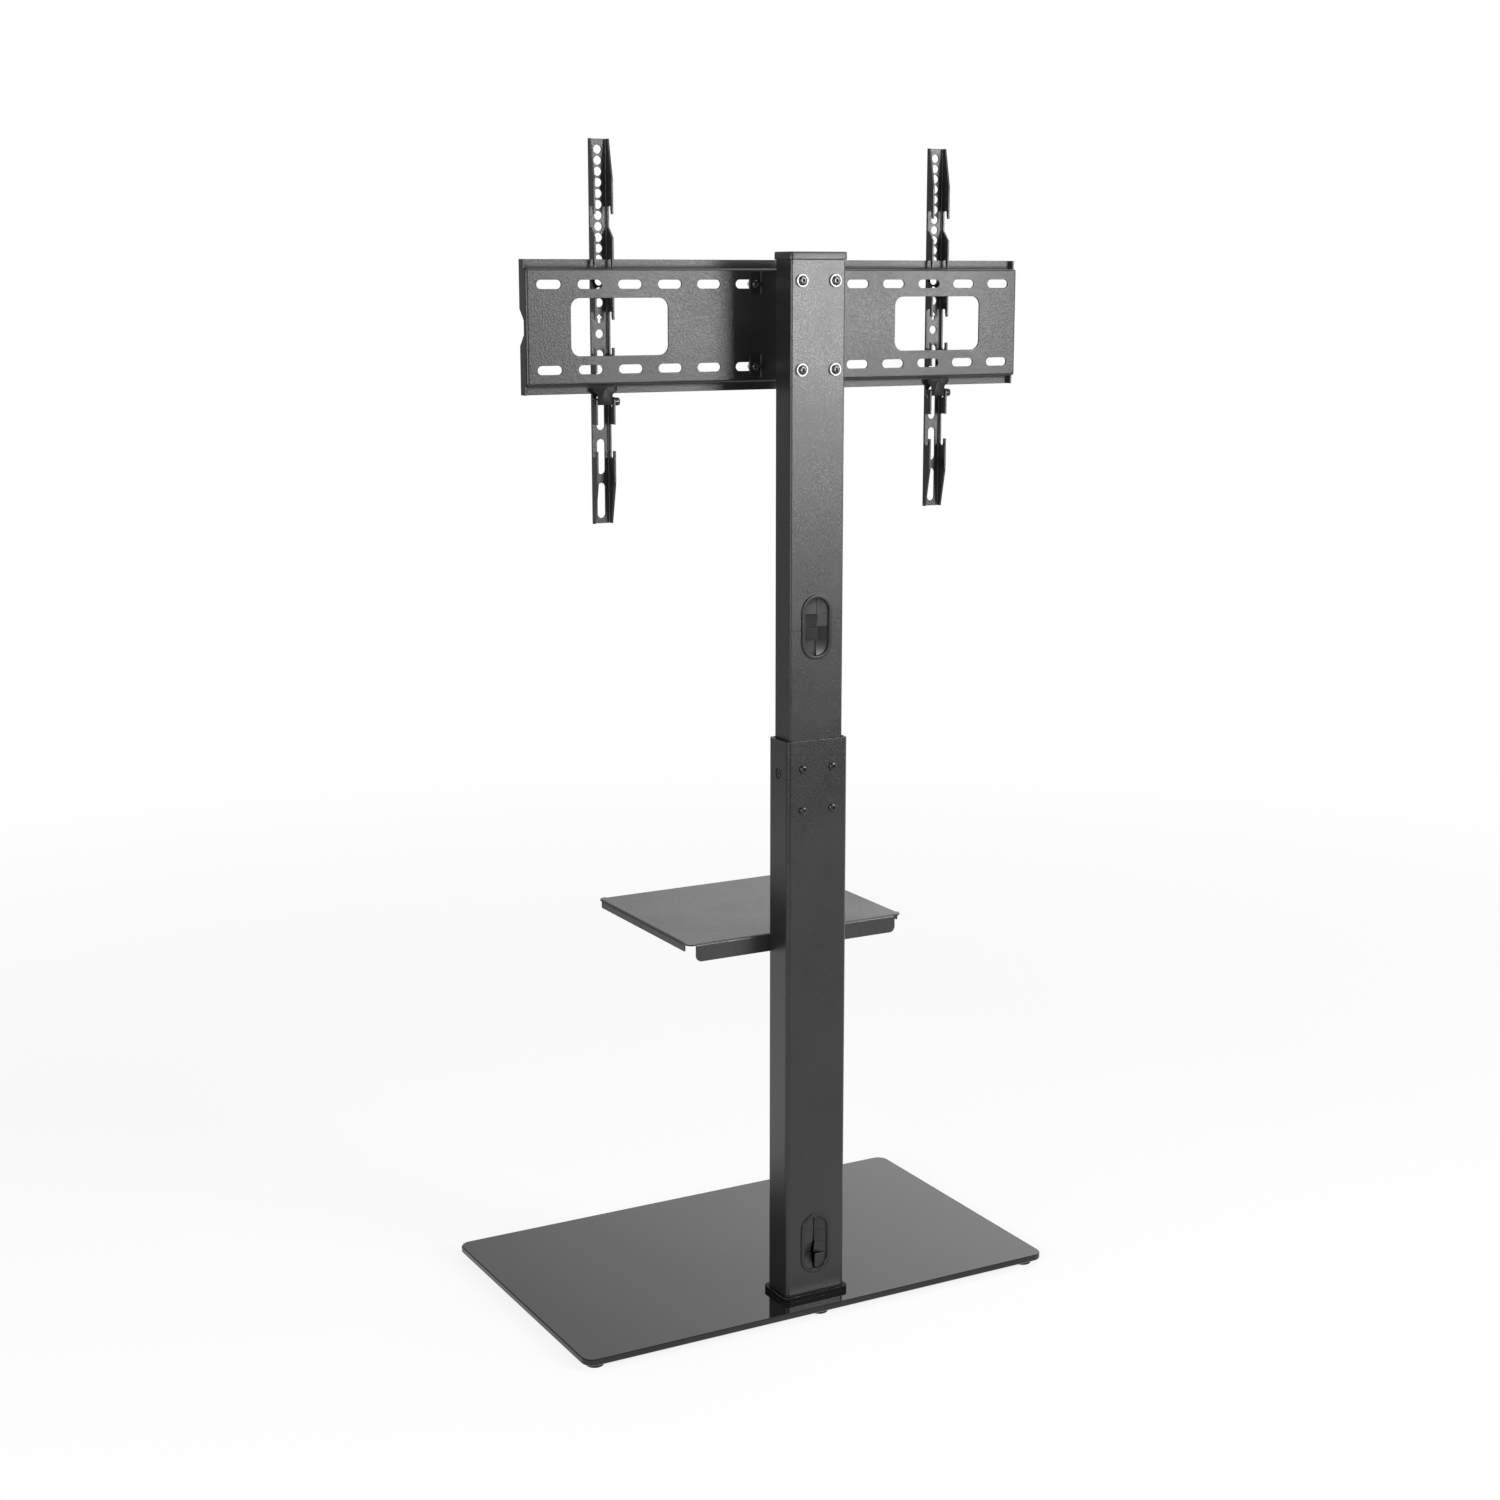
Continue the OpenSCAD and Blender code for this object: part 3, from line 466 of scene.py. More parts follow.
class Finishes:
    """Every finish of the stand."""

    tube = Finish("coated_tube", (0.008, 0.008, 0.0083), (0.012, 0.012, 0.0124), (0.10, 0.10, 0.102),
                  0.30, 0.48, grain_size=800.0)
    sheet = Finish("coated_sheet", (0.006, 0.006, 0.0063), (0.024, 0.024, 0.0245), (0.13, 0.13, 0.132),
                   0.34, 0.35, roughness_swing=0.06, grain_size=430.0, grain_step=0.00022,
                   corner_dulling=0.4)
    bracket = Finish("coated_bracket", (0.006, 0.006, 0.0063), (0.010, 0.010, 0.0104),
                     (0.11, 0.11, 0.112), 0.38, 0.26, roughness_swing=0.04, grain_size=800.0)
    arm = Finish("coated_arm", (0.009, 0.009, 0.0094), (0.014, 0.014, 0.0144), (0.13, 0.13, 0.132), 0.36,
                 0.44)
    shelf = Finish("coated_shelf", (0.013, 0.013, 0.0135), (0.019, 0.019, 0.0195), (0.13, 0.13, 0.132),
                   0.36, 0.53, grain_step=0.00032, wear=0.2, dust=0.3)
    plastic = Moulding("moulded_plastic", (0.009, 0.009, 0.0095), (0.014, 0.014, 0.0145),
                       (0.06, 0.06, 0.062), 0.32, 0.33, grain_depth=0.12, wear=0.1, edge_radius=0.0004,
                       dust=0.12)
    # Light grey edge colour at wear 0.9 on an almost glossless black: a painted highlight along the
    # collar's edges
    collar = Moulding("collar_plastic", (0.003, 0.003, 0.0033), (0.005, 0.005, 0.0053),
                      (0.40, 0.40, 0.40), 0.34, 0.04, wear=0.9, edge_radius=0.0005, dust=0.02)
    cap = Moulding("cap_plastic", (0.014, 0.014, 0.0145), (0.020, 0.020, 0.0205), (0.12, 0.12, 0.122),
                   0.36, 0.42, grain_size=1300.0, grain_depth=0.3, wear=0.6, edge_radius=0.0009,
                   dust=0.12)
    clip = Moulding("clip_plastic", (0.010, 0.010, 0.0104), (0.016, 0.016, 0.0165), (0.10, 0.10, 0.102),
                    0.38, 0.09)
    rubber = Moulding("soft_rubber", (0.009, 0.009, 0.009), (0.015, 0.015, 0.015), (0.03, 0.03, 0.03),
                      0.31, 0.36, slot=Slot.RUBBER, grain_size=900.0, grain_depth=0.2, wear=0.2,
                      dust=0.25)
    zinc = Plating("zinc_plating", (0.55, 0.56, 0.58), (0.66, 0.67, 0.69), (0.75, 0.75, 0.76), 0.30, 0.5,
                   roughness_swing=0.06, metallic=1.0, wear=0.4, edge_radius=0.0007, dust=0.1)
    dark_zinc = Plating("black_zinc_plating", (0.020, 0.020, 0.021), (0.035, 0.035, 0.036),
                        (0.45, 0.45, 0.46), 0.30, 0.35, roughness_swing=0.06)
    black_steel = Plating("blackened_screws", (0.008, 0.008, 0.0085), (0.016, 0.016, 0.0165),
                          (0.30, 0.30, 0.30), 0.16, 0.55, slot=Slot.BLACK_STEEL, grain_size=1500.0,
                          wear=0.7)
    chrome = Plating("chrome_washers", (0.62, 0.63, 0.64), (0.70, 0.71, 0.72), (0.86, 0.86, 0.87), 0.50,
                     0.5, slot=Slot.CHROME, metallic=1.0, grain_size=1800.0, grain_depth=0.02, wear=0.2,
                     edge_radius=0.0002)
    glass = GlossGlass("black_gloss_glass", (0.004, 0.0045, 0.005), (0.009, 0.009, 0.010),
                       (0.05, 0.05, 0.05), 0.02, 0.5, dust=0.05)
    glass_edge = GlossGlass("polished_glass_edge", (0.010, 0.0115, 0.012), (0.018, 0.020, 0.021),
                            (0.1, 0.1, 0.1), 0.14, 0.30, roughness_swing=0.08, dust=0.0, streaks=0.8)


# Mesh helpers


def rounded_outline(width: float, depth: float, radius: float, steps: int) -> list[Point]:
    """Points round a rectangle with rounded corners, counter-clockwise.

    Args:
        width: size along the first axis.
        depth: size along the second axis.
        radius: corner radius.
        steps: segments in each corner.

    Returns:
        The points, centred on the origin.
    """
    points = []
    for quarter, (sx, sy) in enumerate(((1, 1), (-1, 1), (-1, -1), (1, -1))):
        x, y = sx * (width / 2 - radius), sy * (depth / 2 - radius)
        for step in range(steps + 1):
            angle = (quarter + step / steps) * QUARTER
            points.append((x + radius * math.cos(angle), y + radius * math.sin(angle)))
    return points


def circle(count: int, radius: float = 1.0, middle: Point = (0.0, 0.0)) -> list[Point]:
    """Points round a circle, counter-clockwise."""
    angles = [math.tau * k / count for k in range(count)]
    return [(middle[0] + radius * math.cos(a), middle[1] + radius * math.sin(a)) for a in angles]


def ring_of(points: Sequence[Point], level: float, plane: Plane = Plane.XY,
            middle: Point = (0.0, 0.0)) -> Loop:
    """Places an outline in space, round a middle in its plane and at a level across it."""
    spots = [(middle[0] + one, middle[1] + other, level) for one, other in points]
    return [Vector([spot[k] for k in plane.value]) for spot in spots]


class MeshMaker:
    """Collects loops and faces, and turns them into a finished object."""

    def __init__(self, name: str) -> None:
        """Starts an empty mesh for the named piece."""
        self.name = name
        self.bm = bmesh.new()

    def loft(self, loops: Sequence[Loop], close_start: bool = True, close_end: bool = True,
             part: int = 0) -> None:
        """Skins loops of equal length.

        Args:
            loops: the loops in order.
            close_start: whether the first loop gets a face.
            close_end: whether the last loop gets a face.
            part: material index of the faces.
        """
        rows = [[self.bm.verts.new(p) for p in loop] for loop in loops]
        count = len(rows[0])
        faces = [(low[i], low[(i + 1) % count], high[(i + 1) % count], high[i])
                 for low, high in zip(rows, rows[1:]) for i in range(count)]
        if close_start:
            faces.append(rows[0][::-1])
        if close_end:
            faces.append(rows[-1])
        for face in faces:
            self.bm.faces.new(face).material_index = part

    def plate_with_holes(self, outer: Loop, holes: Sequence[Loop] = (), flip: bool = False) -> None:
        """Fills a flat face between an outer loop and its holes.

        Args:
            outer: the outer loop.
            holes: loops inside it.
            flip: whether the face looks down.
        """
        edges = []
        for loop in (outer, *holes):
            verts = [self.bm.verts.new(p) for p in loop]
            edges += [self.bm.edges.new(pair) for pair in zip(verts, verts[1:] + verts[:1])]
        made = bmesh.ops.triangle_fill(self.bm, edges=edges, use_beauty=True)
        for face in made["geom"]:
            if isinstance(face, bmesh.types.BMFace):
                face.normal_update()
                if (face.normal.z < 0) != flip:
                    face.normal_flip()

    def finish(self, *finishes: Finish, crease: float = 35.0, merge: float = 1e-6) -> Piece:
        """Merges doubles, turns the faces outwards, and links the object.

        Args:
            finishes: finishes by material index.
            crease: edges sharper than this, in degrees, stay sharp.
            merge: distance under which vertices merge.

        Returns:
            The object, at the origin.
        """
        bmesh.ops.remove_doubles(self.bm, verts=self.bm.verts, dist=merge)
        bmesh.ops.recalc_face_normals(self.bm, faces=self.bm.faces)
        for face in self.bm.faces:
            face.smooth = True
        mesh = bpy.data.meshes.new(self.name)
        self.bm.to_mesh(mesh)
        self.bm.free()
        mesh.set_sharp_from_angle(angle=math.radians(crease))
        for finish in finishes:
            mesh.materials.append(finish.material())
        return link(bpy.data.objects.new(self.name, mesh))


def link(made: Piece) -> Piece:
    """Puts an object in the scene and gives it back."""
    bpy.context.scene.collection.objects.link(made)
    return made


def bake_modifiers(piece: Piece) -> Piece:
    """Turns a piece's modifiers into its plain mesh.

    Args:
        piece: an object with live modifiers.

    Returns:
        The same object, with none.
    """
    graph = bpy.context.evaluated_depsgraph_get()
    plain = bpy.data.meshes.new_from_object(piece.evaluated_get(graph), depsgraph=graph)
    plain.name = piece.name
    piece.modifiers.clear()
    piece.data = plain
    return piece


# Node-built repeats


class LayoutTree(NodeBoard):
    """A Geometry Nodes tree with named inputs, evaluated to a plain mesh."""

    prefix = "GeometryNode"
    name = "layout"
    inputs: dict[str, str] = {}

    def __init__(self) -> None:
        """Builds the tree, which ends in one plain mesh with one material."""
        super().__init__(bpy.data.node_groups.new(self.name, "GeometryNodeTree"))
        self.keys = {label: self.socket(label, "INPUT", kind).identifier
                     for label, kind in {**self.inputs, "Finish": "Material"}.items()}
        self.socket("Geometry", "OUTPUT", "Geometry")
        self.given = self.add("NodeGroupInput")
        solid = self.add("RealizeInstances", self.grow())[0]
        dressed = self.add("SetMaterial", Geometry=solid, Material=self.given["Finish"])[0]
        self.add("NodeGroupOutput", dressed)

    def grow(self) -> Socket:
        """Builds the shape and gives its socket."""
        raise NotImplementedError

    def make(self, name: str, finish: Finish, **values: object) -> Piece:
        """Evaluates the tree once.

        Args:
            name: the piece's name.
            finish: its finish.
            values: the tree's inputs, with spaces written as underscores.

        Returns:
            A plain mesh object at the origin.
        """
        piece = link(bpy.data.objects.new(name, bpy.data.meshes.new(name)))
        grown = piece.modifiers.new(self.name, "NODES")
        grown.node_group = self.tree
        for key, value in {"Finish": finish.material(), **values}.items():
            grown[self.keys[key.replace("_", " ")]] = value
        return bake_modifiers(piece)


class FastenerGrid(LayoutTree):
    """Sets a turned piece, such as a screw or foot, at each point of a grid."""

    name = "fastener_grid"
    inputs = {"Head": "Object", "Columns": "Int", "Rows": "Int", "Width": "Float", "Height": "Float",
              "Centre": "Vector", "Grid Turn": "Vector", "Head Turn": "Float", "Seed": "Int"}

    def grow(self) -> Socket:
        """Turns a flat grid to its plane, and an instance at each point about its own axis.

        Returns:
            The grid's geometry.
        """
        given = self.given
        grid = self.add("MeshGrid", *(given[key] for key in ("Width", "Height", "Columns", "Rows")))["Mesh"]
        head = self.add("ObjectInfo", transform_space="ORIGINAL", Object=given["Head"])["Geometry"]
        # Input 3 and output 1 are the random number's upper limit and its value
        turn = self.add("FunctionNodeRandomValue", data_type="FLOAT", Seed=given["Seed"],
                        _3=given["Head Turn"])[1]
        spin = self.add("ShaderNodeCombineXYZ", Z=turn)[0]
        seats = self.add("InstanceOnPoints", Points=grid, Instance=head, Rotation=spin)[0]
        return self.add("Transform", Geometry=seats, Translation=given["Centre"],
                        Rotation=given["Grid Turn"])[0]


class ObroundFrame(LayoutTree):
    """Runs a rounded lip along an obround path, as a cable grommet's rim."""

    name = "obround_frame"
    inputs = {"Width": "Float", "Length": "Float", "Corner": "Float", "Lip Base": "Float",
              "Lip Crest": "Float", "Lip Depth": "Float", "Lip Round": "Float", "Centre": "Vector"}
    path_points = 144
    path_corner = 16
    lip_corner = 4

    def rounded(self, mode: str, radius: Socket, count: int, **sides: object) -> Socket:
        """Draws a closed four-sided curve with rounded corners."""
        flat = self.add("CurvePrimitiveQuadrilateral", mode=mode, **sides)[0]
        return self.add("FilletCurve", mode="POLY", Curve=flat, Radius=radius, Count=count,
                        Limit_Radius=True)[0]

    def grow(self) -> Socket:
        """Sweeps the lip's outline round the path and stands it upright.

        Returns:
            The frame's geometry.
        """
        given = self.given
        outline = self.rounded("RECTANGLE", given["Corner"], self.path_corner,
                               Width=given["Width"], Height=given["Length"])
        path = self.add("ResampleCurve", mode="COUNT", Curve=outline, Count=self.path_points)[0]
        lip = self.rounded("TRAPEZOID", given["Lip Round"], self.lip_corner, Offset=0.0,
                           Bottom_Width=given["Lip Base"], Top_Width=given["Lip Crest"],
                           Height=given["Lip Depth"])
        swept = self.add("CurveToMesh", Curve=path, Profile_Curve=lip)[0]
        smooth = self.add("SetShadeSmooth", Geometry=swept)[0]
        return self.add("Transform", Geometry=smooth, Translation=given["Centre"],
                        Rotation=(QUARTER, 0.0, 0.0))[0]


# Turned pieces


@dataclass
class TurnedHead:
    """A turned piece round Z: its profile goes from the lowest point up to the head's rim.

    Each socket step is the share of its width and of its depth, from its mouth to its point.
    """

    profile: Sequence[Point]
    recess: Recess = Recess.NONE
    recess_span: float = 0.0
    recess_depth: float = 0.0
    segments: int = 32
    socket_steps: Sequence[Point] = ((1.0, 0.0), (0.8, 1.0), (0.1, 1.6))
    slim_share: float = 0.24
    notch_share: float = 1.25

    def socket_outline(self) -> list[Point]:
        """Outline of the driver's socket.

        Returns:
            Points round the socket, or none.
        """
        half = self.recess_span / 2
        if self.recess is not Recess.CROSS:
            return circle(6, half) if self.recess is Recess.HEXAGON else []
        slim = half * self.slim_share
        notch = slim * self.notch_share
        wing = ((half, -slim), (half, slim), (notch, notch))
        turns = [(math.cos(k * QUARTER), math.sin(k * QUARTER)) for k in range(4)]
        return [(x * c - y * s, x * s + y * c) for c, s in turns for x, y in wing]

    def build(self, name: str) -> Piece:
        """Builds the piece as one closed shell.

        Args:
            name: the object's name.

        Returns:
            The object, used as the source of instances and removed later.
        """
        maker = MeshMaker(name)
        loops = [ring_of(circle(self.segments, r), z) for r, z in self.profile]
        socket = self.socket_outline()
        maker.loft(loops, close_end=not socket)
        if socket:
            top = self.profile[-1][1]
            inner = [ring_of([(x * share, y * share) for x, y in socket], top - self.recess_depth * deep)
                     for share, deep in self.socket_steps]
            maker.plate_with_holes(loops[-1], inner[:1])
            maker.loft(inner, close_start=False)
        return maker.finish(crease=28.0)


def threaded(radius: float, start: float, end: float, pitch: float = 0.001) -> list[Point]:
    """Profile of a threaded shank, from its tip up.

    Args:
        radius: outer radius of the thread.
        start: the tip's height.
        end: height where the thread stops.
        pitch: distance between crests.

    Returns:
        Radius and height of each point.
    """
    tip, root = radius * 0.72, radius * 0.86
    points = [(tip, start)]
    z = start + pitch / 2
    while z + pitch < end:
        points += [(radius, z), (root, z + pitch / 2)]
        z += pitch
    return [*points, (radius, end)]


@dataclass
class FastenerSet:
    """Equal turned pieces on a grid, the CAD node they stand for, and their random turns."""

    name: str
    body: str
    finish: Finish
    head: TurnedHead
    facing: Facing
    centre: Place
    spread: Point
    node: str
    turn: float = 0.0
    seed: int = 1
    counts: tuple[int, int] = (2, 2)


@dataclass
class Workshop:
    """What the sub-assemblies share: the frame, the layout trees and the list of pieces."""

    frame: dict
    grid: FastenerGrid = field(default_factory=FastenerGrid)
    lip: ObroundFrame = field(default_factory=ObroundFrame)
    made: list[str] = field(default_factory=list)

    def keep(self, piece: Piece, body: str, finish: Finish, *nodes: str) -> None:
        """Puts a finished piece on its body and hides the CAD nodes that it replaces.

        Args:
            piece: the object, at the origin.
            body: the body that carries it.
            finish: its finish; not used.
            nodes: CAD nodes that it replaces.
        """
        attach(piece, body)
        if nodes:
            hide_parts(*nodes)
        self.made.append(piece.name)
        log.info("made %s on %s", piece.name, body)

    def dress(self, finish: Finish, *nodes: str) -> None:
        """Gives CAD nodes a finish.

        Args:
            finish: the finish.
            nodes: names of the nodes.
        """
        for name in nodes:
            for slot in self.frame["nodes"][name].material_slots:
                slot.material = finish.material()
            log.info("dressed %s in %s", name, finish.name)

    def fasten(self, kit: FastenerSet) -> None:
        """Sets a grid of one turned piece.

        Args:
            kit: the piece, its grid and its turns.
        """
        source = kit.head.build(f"{kit.name}_source")
        (columns, rows), (width, height) = kit.counts, kit.spread
        piece = self.grid.make(kit.name, kit.finish, Head=source, Columns=columns, Rows=rows,
                               Width=width, Height=height, Centre=kit.centre,
                               Grid_Turn=kit.facing.value, Head_Turn=kit.turn, Seed=kit.seed)
        bpy.data.objects.remove(source)
        self.keep(piece, kit.body, kit.finish, kit.node)


# Sub-assemblies


# A pan head from its underside to its rim, on a shank 6 mm thick
PAN_HEAD = ((0.003, 0.0), (0.005, 0.0), (0.005, 0.0010), (0.0049, 0.0017), (0.0044, 0.0024),
            (0.0036, 0.0029), (0.0028, 0.0030))


@dataclass
class GlassBase:
    """The glass pane, its feet, and the steel and gaskets that tie it to the column."""

    shop: Workshop
    width: float = 0.650
    depth: float = 0.394
    low: float = 0.008
    top: float = 0.016
    corner: float = 0.015
    chamfer: float = 0.0011
    bolt_radius: float = 0.0055
    bolt_x: float = 0.027
    bolt_y: Point = (0.132, 0.156)
    bolt_low: float = 0.0014
    foot_radius: float = 0.011
    foot_inset: float = 0.020
    groove: float = 0.0005

    def build_pane(self) -> None:
        """Builds the pane with polished chamfers and its four bolt holes."""
        maker = MeshMaker("glass_pane")
        steps = ((self.chamfer, self.low), (0.0, self.low + self.chamfer),
                 (0.0, self.top - self.chamfer), (self.chamfer, self.top))
        edge = [ring_of(rounded_outline(self.width - 2 * inset, self.depth - 2 * inset,
                                        self.corner - inset, 14), z) for inset, z in steps]
        holes = [circle(24, self.bolt_radius, (x, y))
                 for x in (-self.bolt_x, self.bolt_x) for y in self.bolt_y]
        maker.loft(edge, False, False, part=1)
        for z, loop in ((self.low, edge[0]), (self.top, edge[-1])):
            maker.plate_with_holes(loop, [ring_of(hole, z) for hole in holes], flip=z == self.low)
        for hole in holes:
            maker.loft([ring_of(hole, self.low), ring_of(hole, self.top)], False, False, part=1)
        pane = maker.finish(Finishes.glass, Finishes.glass_edge, crease=20.0)
        self.shop.keep(pane, "base", Finishes.glass, "glass_base")

    def build_feet(self) -> None:
        """Sets six turned rubber feet with a moulded groove under the pane."""
        r, h, inset = self.foot_radius, self.low, 2 * self.foot_inset
        waist = r - self.groove
        profile = [(r - 0.0030, 0.0), (r, 0.0), (r, h * 0.42), (waist, h * 0.46), (waist, h * 0.54),
                   (r, h * 0.58), (r, h - 0.0016), (waist, h - 0.0006), (r - 0.0016, h),
                   (r * 0.55, h), (r * 0.5, h - 0.0008)]
        self.shop.fasten(FastenerSet(
            "rubber_foot_set", "base", Finishes.rubber, TurnedHead(profile, segments=48), Facing.DOWN,
            (0.0, 0.0, self.low), (self.width - inset, self.depth - inset), "rubber_feet", counts=(3, 2)))

    def build_bolts(self) -> None:
        """Sets the four low-headed bolts that come up through the glass."""
        profile = [*threaded(0.004, -0.0256, -0.0046), (0.004, -0.0026), (0.0075, -0.0026),
                   (0.0075, -0.0006), (0.0069, 0.0), (0.0044, 0.0)]
        near, far = self.bolt_y
        self.shop.fasten(FastenerSet(
            "base_bolt_set", "base", Finishes.zinc, TurnedHead(profile, Recess.HEXAGON, 0.0066, 0.0019),
            Facing.DOWN, (0.0, (near + far) / 2, self.bolt_low), (2 * self.bolt_x, far - near),
            "base_bolts", 1.0, 3))

    def build(self) -> None:
        """Builds and dresses the base."""
        self.build_pane()
        self.build_feet()
        self.build_bolts()
        self.shop.dress(Finishes.tube, "under_plate")
        self.shop.dress(Finishes.rubber, "lower_gasket", "upper_gasket")
        self.shop.dress(Finishes.collar, "base_collar")


@dataclass
class CableGrommet:
    """An obround rim with eight rubber flaps, on the rear of a tube.

    Each bend is the depth of a flap's free edge at its upper and at its lower end, and how
    early the flap bends; the flaps go in pairs from the top, first +X and then -X.
    """

    shop: Workshop
    name: str
    body: str
    face_y: float
    centre_z: float
    bends: Sequence[Place]
    width: float = 0.041
    length: float = 0.077
    rim: float = 0.0045
    proud: float = 0.0016
    slope: float = 0.0004
    wall: float = 0.0018
    seat: float = 0.005
    seat_lap: float = 0.0002
    sunk: float = 0.0010
    flap: float = 0.0011
    slit: float = 0.0003
    row: float = 0.015
    end_gap: float = 0.0004
    curl: float = 0.16
    across: int = 10
    along: int = 8

    def build_rim(self) -> None:
        """Sweeps the rim, whose crest is a little narrower, and its sleeve in the tube."""
        walls = (("rim", self.rim, self.rim, self.slope, self.proud, 0.0005, self.proud / 2,
                  [f"{self.name}_grommet_frame"]),
                 ("sleeve", 2 * self.rim - self.wall, self.wall, 0.0, self.seat, 0.0003,
                  self.seat_lap - self.seat / 2, []))
        for part, inset, wall, slope, deep, rounding, level, nodes in walls:
            width = self.width - inset
            piece = self.shop.lip.make(
                f"{self.name}_grommet_{part}", Finishes.plastic, Width=width, Length=self.length - inset,
                Corner=width / 2, Lip_Base=wall, Lip_Crest=wall - slope, Lip_Depth=deep,
                Lip_Round=rounding, Centre=(0.0, self.face_y + level, self.centre_z))
            self.shop.keep(piece, self.body, Finishes.plastic, *nodes)

    def half_width(self, z: float) -> float:
        """Half the opening's width at a height above its middle."""
        over = max(0.0, abs(z) - (self.length - self.width) / 2)
        return math.sqrt(max((self.width / 2 - self.rim) ** 2 - over * over, 1e-8))

    def build_flap(self, maker: MeshMaker, side: int, low: float, high: float, bend: Place) -> None:
        """Adds one flap, hinged at the rim and bent at its free edge.

        Args:
            maker: the mesh that takes it.
            side: 1 for +X and -1 for -X.
            low: its lower edge above the middle.
            high: its upper edge above the middle.
            bend: its bend.
        """
        upper, lower, early = bend
        loops = []
        for rise in (j / self.along for j in range(self.along + 1)):
            z = low + (high - low) * rise
            depth = lower + (upper - lower) * rise
            reach = self.half_width(z)
            front = []
            for share in (i / self.across for i in range(self.across + 1)):
                x = side * (reach - (reach - self.slit / 2) * share + self.curl * depth * share ** 2)
                front.append((x, self.face_y - self.sunk - depth * share ** early))
            back = [(x, y - self.flap) for x, y in front]
            loops.append(ring_of(front + back[::-1], self.centre_z + z))
        maker.loft(loops)

    def build_flaps(self) -> None:
        """Adds the eight flaps as one rubber piece."""
        maker = MeshMaker(f"{self.name}_grommet_flap_set")
        end = self.length / 2 - self.rim - self.end_gap
        gap = self.slit / 2
        rows = ((self.row + gap, end), (gap, self.row - gap),
                (gap - self.row, -gap), (-end, -self.row - gap))
        for index, bend in enumerate(self.bends):
            self.build_flap(maker, -1 if index % 2 else 1, *rows[index // 2], bend)
        flaps = maker.finish(Finishes.rubber, crease=40.0)
        self.shop.keep(flaps, self.body, Finishes.rubber, f"{self.name}_grommet_flaps")

    def build(self) -> None:
        """Builds the grommet."""
        self.build_rim()
        self.build_flaps()


@dataclass
class Column:
    """The two tubes, their guides and clamp, the cap and the cable grommets."""

    shop: Workshop
    centre_y: float = 0.144
    lower_rear: float = 0.167
    upper_rear: float = 0.162
    upper_size: Point = (0.072, 0.036)
    top: float = 1.2695
    cap_height: float = 0.009
    cap_over: float = 0.002
    cap_skirt: float = 0.016
    cap_corner: float = 0.0042
    clamp_tip: float = 0.1647
    clamp_centre: float = 0.657
    clamp_spacing: Point = (0.040, 0.050)
    grommets: Point = (0.849, 0.0855)
    upper_bends: Sequence[Place] = (
        (0.0010, 0.0004, 1.4), (0.0007, 0.0003, 1.4), (-0.0030, -0.0006, 1.0), (0.0004, 0.0002, 1.3),
        (-0.0024, -0.0028, 1.0), (0.0040, 0.0036, 1.0), (0.0028, 0.0020, 0.9), (0.0044, 0.0002, 1.0))
    lower_bends: Sequence[Place] = (
        (0.0030, 0.0034, 0.8), (0.0032, 0.0044, 1.0), (0.0036, 0.0042, 0.8), (0.0056, 0.0030, 1.0),
        (0.0044, 0.0086, 0.9), (0.0022, 0.0056, 1.1), (0.0080, 0.0026, 0.9), (0.0000, 0.0020, 1.1))

    def build_cap(self) -> None:
        """Builds the push-in cap with a softly rounded top."""
        maker = MeshMaker("column_cap")
        wide, deep = (size + 2 * self.cap_over for size in self.upper_size)
        plug, hollow = self.cap_over + 0.0021, self.cap_over + 0.0040
        high = self.cap_height
        steps = ((hollow, 0.0), (hollow, -self.cap_skirt), (plug, -self.cap_skirt), (plug, 0.0),
                 (0.0007, 0.0), (0.0, 0.0006), (0.0, high - 0.0016), (0.0003, high - 0.0008),
                 (0.0009, high - 0.0002), (0.0018, high))
        maker.loft([ring_of(rounded_outline(wide - 2 * inset, deep - 2 * inset,
                                            max(self.cap_corner - inset * 0.8, 0.0008), 8),
                            self.top + z, middle=(0.0, self.centre_y)) for inset, z in steps])
        self.shop.keep(maker.finish(Finishes.cap), "mast", Finishes.cap, "top_cap")

    def build_clamp_screws(self) -> None:
        """Sets the four pan-headed clamp screws."""
        profile = [*threaded(0.003, self.clamp_tip - self.lower_rear, -0.0004, 0.0007), *PAN_HEAD]
        head = TurnedHead(profile, Recess.CROSS, 0.0050, 0.0017)
        self.shop.fasten(FastenerSet(
            "clamp_screw_set", "base", Finishes.black_steel, head, Facing.REAR,
            (0.0, self.lower_rear, self.clamp_centre), self.clamp_spacing, "clamp_screws", 1.5, 7))

    def build(self) -> None:
        """Builds and dresses the column."""
        self.shop.dress(Finishes.tube, "lower_column", "upper_column")
        self.shop.dress(Finishes.plastic, "guide_sleeve", "glide_shoe")
        self.shop.dress(Finishes.zinc, "pressure_plate")
        self.shop.dress(Finishes.black_steel, "side_screw")
        self.build_cap()
        self.build_clamp_screws()
        upper, lower = self.grommets
        CableGrommet(self.shop, "upper", "mast", self.upper_rear, upper, self.upper_bends).build()
        CableGrommet(self.shop, "lower", "base", self.lower_rear, lower, self.lower_bends).build()


